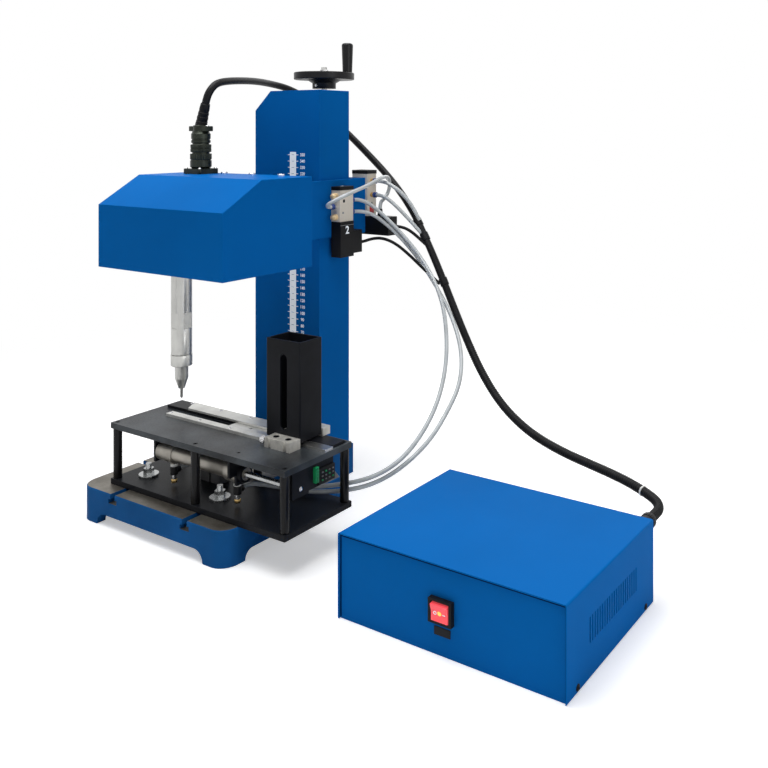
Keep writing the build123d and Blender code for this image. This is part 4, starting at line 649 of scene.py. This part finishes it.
# The connector: knurled rings, a ribbed tail clamp and a tapered, leaning boot
PLUG_X, PLUG_Y = -72, -110
FLANGE_Z, RING_Z, BACK_Z, CLAMP_Z, BOOT_Z = 498, 523, 537, 555, 563
CLAMP_IN, CLAMP_OUT, CLAMP_HALF = 2, 19, 7.5
CLAMP_SCREW = 14
FLANGE_HOLE = 15
BOOT_LEAN = math.radians(17)
plug_parts = [
    lathe("plug_body", (PLUG_X, PLUG_Y, FLANGE_Z), "z", [
        (0, 0), (13, 0), (16, 3), (16, 12), (15.2, 12.6), (15.2, 14), (16, 14.6), (16, 22.6),
        (13, 23), (13, 25), (0, 25)], olive, "carriage", ridge=(14.2, 22.7, 40, 0.5)),
    lathe("plug_ring", (PLUG_X, PLUG_Y, RING_Z), "z", [
        (0, 0), (14.6, 0), (15.5, 0.9), (15.5, 5.4), (14.9, 5.8), (14.9, 6.4), (15.5, 6.8),
        (15.5, 11.2), (14.6, 12), (12.6, 12), (12.6, 14), (0, 14)], olive, "carriage",
        ridge=(0.5, 11.6, 44, 0.45)),
    lathe("plug_back", (PLUG_X, PLUG_Y, BACK_Z), "z", [
        (0, 0), (13.6, 0), (14.5, 0.9), (14.5, 4), (13.4, 4.6), (13.4, 6), (14.5, 6.6), (14.5, 14),
        (13.4, 15.4), (12.4, 18), (0, 18)], olive, "carriage"),
    slab("plug_clamp_left", (PLUG_X - CLAMP_OUT, PLUG_Y - CLAMP_HALF, CLAMP_Z),
         (PLUG_X - CLAMP_IN, PLUG_Y + CLAMP_HALF, BOOT_Z), olive, "carriage", 1.6),
    slab("plug_clamp_right", (PLUG_X + CLAMP_IN, PLUG_Y - CLAMP_HALF, CLAMP_Z),
         (PLUG_X + CLAMP_OUT, PLUG_Y + CLAMP_HALF, BOOT_Z), olive, "carriage", 1.6),
    lathe("plug_clamp_core", (PLUG_X, PLUG_Y, CLAMP_Z - 1), "z", [
        (0, 0), (11.5, 0), (11.5, 9.5), (10.4, 10.4), (0, 10.4)], olive, "carriage"),
    socket_screw("plug_screw_left", (PLUG_X - CLAMP_SCREW, PLUG_Y, BOOT_Z - 1.5), "z",
                 CLAMP_PLUG_HEAD, chrome, "carriage"),
    socket_screw("plug_screw_right", (PLUG_X + CLAMP_SCREW, PLUG_Y, BOOT_Z - 1.5), "z",
                 CLAMP_PLUG_HEAD, chrome, "carriage"),
    lathe("plug_boot", (PLUG_X, PLUG_Y, BOOT_Z), Matrix.Rotation(BOOT_LEAN, 3, "Y"), [
        (0, -3), (9, -3), (9, 3), (8.7, 5), (8.7, 8), (8.2, 8.6), (8.2, 11), (8.5, 11.6), (8.4, 15),
        (7.9, 15.6), (7.9, 18), (8.1, 18.6), (8.0, 22), (7.5, 22.6), (7.5, 25), (7.7, 25.6),
        (7.5, 30), (7.0, 35.4), (6.4, 36), (5.6, 36), (5.6, 34), (0, 34)], jacket, "carriage"),
]
plug = joined("connector_plug_shell", plug_parts)
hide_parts("connector_plug")

flange_screws = [
    socket_screw(f"flange_screw_{dx}_{dy}", (PLUG_X + dx, PLUG_Y + dy, FLANGE_Z), "z", FLANGE_HEAD,
                 chrome, "carriage")
    for dx in (-FLANGE_HOLE, FLANGE_HOLE) for dy in (-FLANGE_HOLE, FLANGE_HOLE)]
joined("flange_screws", flange_screws)

HOOD_SCREWS_X, HOOD_SCREWS_Y, HOOD_TOP = (-37, 23, 83), -95, 490
hood_screws = joined("hood_screws", [
    socket_screw(f"hood_screw_{x}", (x, HOOD_SCREWS_Y, HOOD_TOP), "z", HOOD_HEAD, chrome, "carriage")
    for x in HOOD_SCREWS_X])
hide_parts("head_screws")

# Table, guide, clamp, terminal and box screws
POSTS_X, POSTS_Y, TABLE_TOP = (-106, 60, 225), (-231, -119), 133
STRIPS_X, STRIPS = (-66, -3.5, 59), (("back", -131, 141.5), ("front", -170, 138.5))
CLAMP_SCREWS_X, CLAMP_SCREWS_Y, CLAMP_TOP = (159, 181), -180, 145
FOOT_X, FOOT_Y = 134.6, -223
TERMINAL_FACE = 230
BOX_SCREWS_Y, BOX_SCREWS_Z = (-241, -64), 6
BOX_SIDES = (("left", 342, "-x"), ("right", 634, "x"))
screws = [socket_screw(f"post_screw_{x}_{y}", (x, y, TABLE_TOP), "z", POST_HEAD, black_metal, "root")
          for x in POSTS_X for y in POSTS_Y]
screws += [socket_screw(f"{strip}_strip_screw_{x}", (x, y, z), "z", STRIP_HEAD, chrome, "root", socket=0.6)
           for x in STRIPS_X for strip, y, z in STRIPS]
screws += [socket_screw(f"clamp_screw_{x}", (x, CLAMP_SCREWS_Y, CLAMP_TOP), "z", CLAMP_HEAD, black_metal,
                        "root", socket=0.66, sunk=0.9) for x in CLAMP_SCREWS_X]
screws += [
    lathe("thumb_screw", (147, -185.5, 143), "-x", [
        (0, 0), (3, 0), (3, 2), (4.8, 2), (5.2, 2.5), (5.2, 8.8), (4.7, 9.4), (0, 9.4)], chrome, "root",
        ridge=(2.3, 9.2, 18, 0.45)),
    socket_screw("foot_screw", (FOOT_X, FOOT_Y, TABLE_TOP + 0.5), "z", FOOT_HEAD, black_metal, "root"),
    lathe("foot_screw_shank", (FOOT_X, FOOT_Y, 124), "z", rod(2.4, 9.6), black_metal, "root"),
    socket_screw("terminal_screw", (TERMINAL_FACE, -209, 104.5), "x", TERMINAL_HEAD, chrome, "root")]
screws += [lathe(f"box_screw_{side}_{y}", (x, y, BOX_SCREWS_Z), axis, [
    (0, 0), (3.7, 0), (3.4, 0.8), (2.2, 1.3), (1.2, 1.45), (1.2, 0.8), (0, 0.8)], black_metal, "root")
    for y in BOX_SCREWS_Y for side, x, axis in BOX_SIDES]
screws = joined("machine_screw_heads", screws)
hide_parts("machine_screws")

# Speed controllers: black bodies with a brass foot and a white ring
CONTROLLERS_X, CONTROLLER_Y = (-15.4, 112.6), -205
controllers = []
for x in CONTROLLERS_X:
    controllers += [
        lathe(f"controller_ring_{x}", (x, CONTROLLER_Y, 82.5), "z", [
            (0, 0), (4.9, 0), (5, 0.4), (5, 3.6), (4.9, 4), (0, 4)], tie_white, "root"),
        lathe(f"controller_body_{x}", (x, CONTROLLER_Y, 70.5), "z", [
            (0, 0), (4.6, 0), (5.5, 1), (5.5, 11), (4.9, 12), (0, 12)], black_plastic, "root"),
        lathe(f"controller_neck_{x}", (x, CONTROLLER_Y, 64.5), "z", rod(3.4, 6), chrome, "root"),
        lathe(f"controller_knob_{x}", (x, CONTROLLER_Y, 59.5), "z", [
            (0, 0), (3.6, 0), (4.2, 0.7), (4.2, 4.3), (3.6, 5), (0, 5)], brass, "root",
            ridge=(0.5, 4.5, 16, 0.35)),
        lathe(f"controller_port_{x}", (x, CONTROLLER_Y + 5, 76.5), "y", [
            (0, 0), (4.5, 0), (4.5, 3), (4.1, 3.6), (4.1, 4), (0, 4)], black_plastic, "root"),
    ]
controllers = joined("speed_controller_bodies", controllers)
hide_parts("speed_controllers")

# Valve fittings: push-in collars, sintered silencers, grommet
FRONT_X, FRONT_BACK, FRONT_NEAR = 85, 52, 21
REAR_Y, REAR_SIDE = 115.5, 80
SILENCERS_Z, SUPPLY_Z, OUTPUTS_Z, REAR_PORTS_Z = (453, 420), 437, (445, 426), (472.5, 449.5)
FITTING = rod(4, 5)
COLLAR = [(0, 0), (4.5, 0), (4.6, 0.3), (4.6, 2.2), (4.1, 2.6), (4.4, 3.0), (4.4, 5.2), (3.9, 5.8),
          (3.0, 5.8), (3.0, 3), (0, 3)]
fittings = [lathe(f"silencer_{z}", (FRONT_X, FRONT_NEAR, z), "-y", [
    (0, 0), (5.0, 0), (5.2, 0.3), (5.2, 2.6), (4.6, 3.0), (4.9, 4.4), (4.8, 6.4), (4.1, 8.2),
    (2.6, 9.4), (1.2, 9.8), (0, 9.8)], sintered, "carriage") for z in SILENCERS_Z]
fittings += [
    lathe("supply_body", (FRONT_X, FRONT_NEAR, SUPPLY_Z), "-y", FITTING, chrome, "carriage"),
    lathe("supply_collar", (FRONT_X, FRONT_NEAR - 5, SUPPLY_Z), "-y", COLLAR, fitting_blue, "carriage")]
for z in OUTPUTS_Z:
    fittings += [
        lathe(f"output_body_{z}", (FRONT_X, FRONT_BACK, z), "y", FITTING, chrome, "carriage"),
        lathe(f"output_collar_{z}", (FRONT_X, FRONT_BACK + 5, z), "y", COLLAR, fitting_blue, "carriage")]
for z in REAR_PORTS_Z:
    fittings += [
        lathe(f"rear_body_{z}", (REAR_SIDE, REAR_Y, z), "x", FITTING, brass, "carriage"),
        lathe(f"rear_collar_{z}", (REAR_SIDE + 5, REAR_Y, z), "x", COLLAR, fitting_blue, "carriage")]
fittings.append(lathe("grommet", (98, REAR_Y, 415), "z", [
    (0, 0), (4.5, 0), (4.5, 4), (4.0, 5), (4.0, 8), (3.6, 11.4), (3.4, 12), (0, 12)], black_plastic,
    "carriage"))
fittings = joined("valve_fitting_bodies", fittings)
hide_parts("valve_fittings")

# Valve details: caps, dots, a coil's seam and a red mark
details = [
    slab("front_cap", (76.2, 20.2, 462.2), (94.9, 52.8, 468.2), black_plastic, "carriage", 0.8),
    lathe("front_cap_dot", (FRONT_X, 36, 468), "z", [(0, 0), (2.4, 0), (2.4, 0.4), (0, 0.5)], white_ink,
          "carriage"),
    slab("front_port_dot", (93.8, 28, 443), (94.3, 32.4, 447.8), black_plastic, "carriage", 0.1),
    slab("rear_cap", (47.3, 103.7, 484.2), (80.8, 127.8, 490.2), black_plastic, "carriage", 0.8),
    slab("rear_red_mark", (79.8, 110, 419), (80.4, 121, 430), red_mark, "carriage", 0.1),
    lathe("rear_coil_dot", (118, 104, 404), "-y", rod(1.8, 0.3), chrome, "carriage"),
    slab("front_coil_seam", (94.9, 20.9, 407), (95.7, 52.1, 407.6), grey_plastic, "carriage", 0.1),
]
details = joined("valve_trim", details)

UPRIGHT = Matrix.Rotation(math.radians(90), 4, "X")
FACINGS = {"front": UPRIGHT, "right": Matrix.Rotation(math.radians(90), 4, "Z") @ UPRIGHT}
INK_DEPTH = 0.12


def lettering(name, words, size, at, facing, finish, body, bold=0.0):
    """Plain figures as a thin mesh; `at` is the middle of the words, facing is front or right."""
    curve = bpy.data.curves.new(name, "FONT")
    curve.body = words
    curve.size = size / MM_PER_METRE
    curve.extrude = INK_DEPTH / 2 / MM_PER_METRE
    curve.offset = bold / MM_PER_METRE
    curve.align_x = "CENTER"
    curve.align_y = "CENTER"
    curve.resolution_u = 3
    text = bpy.data.objects.new(name, curve)
    SCENE.collection.objects.link(text)
    mesh = bpy.data.meshes.new_from_object(text)
    bpy.data.objects.remove(text)
    mesh.transform(Matrix.Translation(place(*at)) @ FACINGS[facing])
    bm = bmesh.new()
    bm.from_mesh(mesh)
    bpy.data.meshes.remove(mesh)
    return mesh_piece(name, bm, finish, body, smooth=30)


coil_mark = lettering("coil_number", "2", 17, (95.6, 36.5, 399), "right", white_ink, "carriage",
                      bold=0.45)

# Height scale on the column's front: a strip, and two ticks, a dark line and a figure every 10 mm
SCALE_START, SCALE_END, SCALE_STEP = 40, 350, 10
SCALE_END_Z = 517.5
TICKS = (("left", (3.2, -0.2), (8, 0.05), 0.5, white_ink),
         ("right", (20, -0.2), (25.4, 0.05), 0.5, white_ink),
         ("dark", (11, -0.32), (17.3, 0.02), 0.3, dark_ink))
scale = [slab("scale_strip", (7.6, -0.25, 190), (20.7, 0.05, 522), white_ink, "root", 0)]
for number in range(SCALE_START, SCALE_END + SCALE_STEP, SCALE_STEP):
    z = SCALE_END_Z - (SCALE_END - number)
    scale += [slab(f"tick_{kind}_{number}", (*low, z - half), (*high, z + half), finish, "root", 0)
              for kind, low, high, half, finish in TICKS]
    scale.append(lettering(f"figure_{number}", str(number), 6.8, (34.5, -0.12, z), "front", white_ink,
                           "root", bold=0.14))
scale = joined("height_scale", scale)

# Handwheel: nut, stud and hub screw
WHEEL_Y, WHEEL_TOP = 88, 653
wheel_trim = [
    nut("wheel_nut", (0, WHEEL_Y, WHEEL_TOP), "z", 6, 12, 5, chrome, "wheel"),
    lathe("wheel_stud", (0, WHEEL_Y, WHEEL_TOP + 5), "z", [
        (0, 0), (4.9, 0), (4.9, 3), (4.2, 4), (0, 4)], chrome, "wheel"),
    socket_screw("hub_screw", (0, WHEEL_Y - 19.3, 631), "-y", HUB_HEAD, chrome, "wheel"),
]
joined("wheel_nut_and_screws", wheel_trim)

# Control box: bare label plate, gap lines round the front panel, rocker marks and board parts
BOX_FRONT = -262
label = slab("bare_label_plate", (475, BOX_FRONT - 0.7, 21.5), (496, BOX_FRONT + 0.1, 30.5), black_gloss,
             "root", 0.25)

panel_gap = joined("panel_gap_lines", [
    slab(f"gap_{side}", (left, BOX_FRONT - 0.25, bottom), (right, BOX_FRONT + 0.1, 96.6), gap_shadow,
         "root", 0)
    for side, left, right, bottom in (
        ("left", 343.6, 345.2, 2), ("right", 630.8, 632.4, 2), ("top", 343.6, 632.4, 93.6))])

ROCKER_X, ROCKER_Z = 485.5, 49
ROCKER_TILT = Matrix.Rotation(math.radians(7), 4, "X")


def on_rocker(obj):
    """Tilts a piece with the rocker's face about its hinge."""
    hinge = place(ROCKER_X, BOX_FRONT, ROCKER_Z)
    obj.data.transform(Matrix.Translation(hinge) @ ROCKER_TILT @ Matrix.Translation(-hinge))
    return obj


marks = [
    on_rocker(lathe("rocker_off_mark", (480.5, BOX_FRONT - 6.6, ROCKER_Z), "-y", [
        (1.3, 0), (2.1, 0), (2.1, 0.5), (1.3, 0.5), (1.3, 0)], white_ink, "rocker", sides=24)),
    on_rocker(slab("rocker_on_mark", (490.2, BOX_FRONT - 7.1, ROCKER_Z - 0.4),
                   (493.6, BOX_FRONT - 6.4, ROCKER_Z + 0.4), white_ink, "rocker", 0)),
    on_rocker(lathe("rocker_lamp", (485.8, BOX_FRONT - 6.2, ROCKER_Z), "-y", [
        (0, 0), (2.6, 0), (2.2, 0.5), (1.0, 0.8), (0, 0.85)], lamp_glow, "rocker", sides=28)),
]
marks = joined("rocker_marks", marks)

# Board parts: left, front, width, depth, height and finish of each, standing on the board
BOARD_TOP = 11.1
board = joined("board_parts", [
    slab(f"board_block_{x}", (x, y, BOARD_TOP), (x + w, y + d, BOARD_TOP + h), finish, "root", 0.8)
    for x, y, w, d, h, finish in (
        (376, -190, 44, 30, 22, black_plastic), (436, -192, 26, 26, 30, aluminium),
        (480, -186, 60, 22, 14, green), (372, -130, 34, 34, 12, black_plastic),
        (424, -132, 70, 40, 6, black_plastic), (512, -140, 30, 46, 26, grey_plastic))])

# Cable gland: nut, body and ribbed cap
GLAND_X, GLAND_Y, GLAND_Z = 620, -43, 86
gland = [
    nut("gland_nut", (GLAND_X, GLAND_Y, GLAND_Z), "y", 8, 18.6, 8, black_plastic, "root"),
    lathe("gland_body", (GLAND_X, GLAND_Y + 8, GLAND_Z), "y", rod(8.5, 10), black_plastic, "root"),
    lathe("gland_cap", (GLAND_X, GLAND_Y + 18, GLAND_Z), "y", [
        (0, 0), (9.1, 0), (9.5, 0.6), (9.5, 7), (8.2, 9.4), (7, 10), (6, 10), (6, 8), (0, 8)],
        black_plastic, "root", ridge=(0.4, 7.2, 20, 0.5)),
]
gland = joined("cable_gland_body", gland)
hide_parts("cable_gland")

# Terminals on the bracket's right face: a green strip with five screws, and a socket with pins
TERMINAL_SCREWS, TERMINAL_LOW, TERMINAL_PITCH = 5, 106, 4
PIN_ROWS, PINS, PINS_START, PIN_PITCH = (104, 109, 114), 4, -173, 6.6
terminals = [
    slab("terminal_strip", (TERMINAL_FACE, -185.5, 104), (TERMINAL_FACE + 5, -179.5, 124), green, "root"),
    slab("terminal_socket", (TERMINAL_FACE, -178.5, 99), (TERMINAL_FACE + 3.5, -147.5, 119),
         black_plastic, "root", 0.6)]
terminals += [lathe(f"terminal_pin_{k}", (TERMINAL_FACE + 4.8, -182.5, TERMINAL_LOW + k * TERMINAL_PITCH),
                    "x", [
    (0, 0), (1.2, 0), (1.2, 0.2), (0.6, 0.2), (0.6, 0.1), (0, 0.1)], chrome, "root", sides=16)
    for k in range(TERMINAL_SCREWS)]
for row, z in enumerate(PIN_ROWS):
    for k in range(PINS):
        y = PINS_START + k * PIN_PITCH
        terminals.append(slab(f"socket_pin_{row}_{k}", (TERMINAL_FACE + 3.2, y, z - 0.8),
                              (TERMINAL_FACE + 4.6, y + 2.4, z + 0.8),
                              green if (row + k) % 3 == 0 else dark_finned, "root", 0.2))
terminals = joined("terminal_blocks", terminals)
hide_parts("terminal_connectors")

# Tie and tapes round the head cable, a tape where each tube or lead joins it; in millimetres
COLLAR_BORE, COLLAR_CHAMFER = 5.7, 0.4


def collar(name, at, length, radius, finish, body):
    """A ring round the head cable, at its point nearest to a place."""
    near = min(range(1, len(cable_points) - 1), key=lambda k: (cable_points[k] - place(*at)).length)
    along = (cable_points[near + 1] - cable_points[near - 1]).normalized()
    centre = cable_points[near] * MM_PER_METRE - Vector((OFFSET_X, OFFSET_Y, 0))
    half = length / 2
    return lathe(name, centre, along.to_track_quat("Z", "Y").to_matrix(), [
        (COLLAR_BORE, -half), (radius - COLLAR_CHAMFER, -half), (radius, COLLAR_CHAMFER - half),
        (radius, half - COLLAR_CHAMFER), (radius - COLLAR_CHAMFER, half), (COLLAR_BORE, half),
        (COLLAR_BORE, -half)], finish, body, sides=32)


cable_tie = collar("cable_tie", (587, 44, 93), 2.4, 6.9, tie_white, "root")
tapes = [
    collar("tape_high", (163, 136, 410), 13, 6.9, jacket, "carriage"),
    collar("tape_low", (175, 133, 384), 13, 7.0, jacket, "carriage"),
    collar("tape_lead", (214, 122, 313), 12, 6.9, jacket, "carriage"),
]
tapes = joined("cable_tapes", tapes)

# Stage: floor and backdrop, both white to the camera, in gloss and through glass far from the object
FLOOR_SIZE, FLOOR_DROP = 9, 0.0002
FLOOR_GREY = (0.93, 0.93, 0.93, 1)
WHITE = (1, 1, 1, 1)
FLOOR_GLOW = 0.42
FADE_START, FADE_END = 0.55, 1.5
ROOM_LEVEL, SEEN_LEVEL = 0.15, 1.0


def seen_rays(tree, paths):
    """A node that gives 1 for a camera, glossy or transmission ray and 0 for any other."""
    first = node(tree, "ShaderNodeMath", operation="MAXIMUM")
    second = node(tree, "ShaderNodeMath", operation="MAXIMUM")
    wire(tree,
         (paths, "Is Camera Ray", first, 0), (paths, "Is Glossy Ray", first, 1),
         (first, "Value", second, 0), (paths, "Is Transmission Ray", second, 1))
    return second


floor_mesh = bpy.data.meshes.new("floor")
bm = bmesh.new()
bmesh.ops.create_grid(bm, x_segments=1, y_segments=1, size=FLOOR_SIZE)
bm.to_mesh(floor_mesh)
bm.free()
floor = bpy.data.objects.new("floor", floor_mesh)
SCENE.collection.objects.link(floor)
floor.location = (0, 0, -FLOOR_DROP)
floor_finish = bpy.data.materials.new("pale_floor")
tree = emptied_tree(floor_finish)
out = node(tree, "ShaderNodeOutputMaterial")
diffuse = node(tree, "ShaderNodeBsdfDiffuse", {"Color": FLOOR_GREY})
glow = node(tree, "ShaderNodeEmission", {"Color": WHITE})
paths = node(tree, "ShaderNodeLightPath")
level = node(tree, "ShaderNodeMath", {1: FLOOR_GLOW}, operation="MULTIPLY")
lit = node(tree, "ShaderNodeAddShader")
spot = node(tree, "ShaderNodeNewGeometry")
reach = node(tree, "ShaderNodeVectorMath", operation="LENGTH")
fade = node(tree, "ShaderNodeMapRange", {"From Min": FADE_START, "From Max": FADE_END},
            interpolation_type="SMOOTHSTEP")
share = node(tree, "ShaderNodeMath", operation="MULTIPLY")
white = node(tree, "ShaderNodeEmission")
far = node(tree, "ShaderNodeMixShader")
wire(tree,
     (paths, "Is Camera Ray", level, 0), (level, "Value", glow, "Strength"),
     (diffuse, "BSDF", lit, 0), (glow, "Emission", lit, 1),
     (spot, "Position", reach, 0), (reach, "Value", fade, "Value"),
     (seen_rays(tree, paths), "Value", share, 0), (fade, "Result", share, 1),
     (share, "Value", far, "Fac"), (lit, "Shader", far, 1), (white, "Emission", far, 2),
     (far, "Shader", out, "Surface"))
floor.data.materials.append(floor_finish)

world = bpy.data.worlds.new("studio")
SCENE.world = world
tree = emptied_tree(world)
out = node(tree, "ShaderNodeOutputWorld")
sky = node(tree, "ShaderNodeBackground", {"Color": WHITE})
paths = node(tree, "ShaderNodeLightPath")
strength = node(tree, "ShaderNodeMapRange", {"To Min": ROOM_LEVEL, "To Max": SEEN_LEVEL})
wire(tree,
     (seen_rays(tree, paths), "Value", strength, "Value"), (strength, "Result", sky, "Strength"),
     (sky, "Background", out, "Surface"))


def lamp(name, at, target, size, power):
    """A rectangular lamp at a place in metres, turned to a target, with its power in watts."""
    light = bpy.data.lights.new(name, "AREA")
    light.shape = "RECTANGLE"
    light.size, light.size_y = size
    light.energy = power
    obj = bpy.data.objects.new(name, light)
    SCENE.collection.objects.link(obj)
    obj.location = at
    obj.rotation_mode = "QUATERNION"
    obj.rotation_quaternion = (Vector(target) - Vector(at)).to_track_quat("-Z", "Y")


lamp("top_softbox", (-0.2, -0.25, 2.0), (0, 0, 0.2), (1.7, 1.5), 38)
lamp("right_softbox", (1.6, -0.35, 0.7), (0.3, 0, 0.1), (1.0, 1.0), 5.5)
lamp("left_softbox", (-1.6, -1.8, 1.9), (-0.2, 0, 0.4), (1.2, 1.4), 1.5)
lamp("back_softbox", (-0.6, 2.4, 1.6), (0, 0, 0.3), (2.0, 1.4), 9)

# The photograph's camera, level and turned to the left: pixels, millimetres and degrees
FOCAL_PIXELS, PICTURE = 892.85, 768
PRINCIPAL = (481.31, 128.24)
SENSOR = 36
CAMERA_AT = (1026.12, -1038.85, 559.68)
CAMERA_TURN = 32.34
camera_data = bpy.data.cameras.new("camera")
camera = bpy.data.objects.new("camera", camera_data)
SCENE.collection.objects.link(camera)
camera_data.sensor_width = SENSOR
camera_data.lens = FOCAL_PIXELS / PICTURE * SENSOR
camera_data.shift_x = -(PRINCIPAL[0] - PICTURE / 2) / PICTURE
camera_data.shift_y = -(PICTURE / 2 - PRINCIPAL[1]) / PICTURE
camera.location = place(*CAMERA_AT)
camera.rotation_euler = (math.radians(90), 0, math.radians(CAMERA_TURN))
SCENE.camera = camera
SCENE.view_settings.view_transform = "Standard"
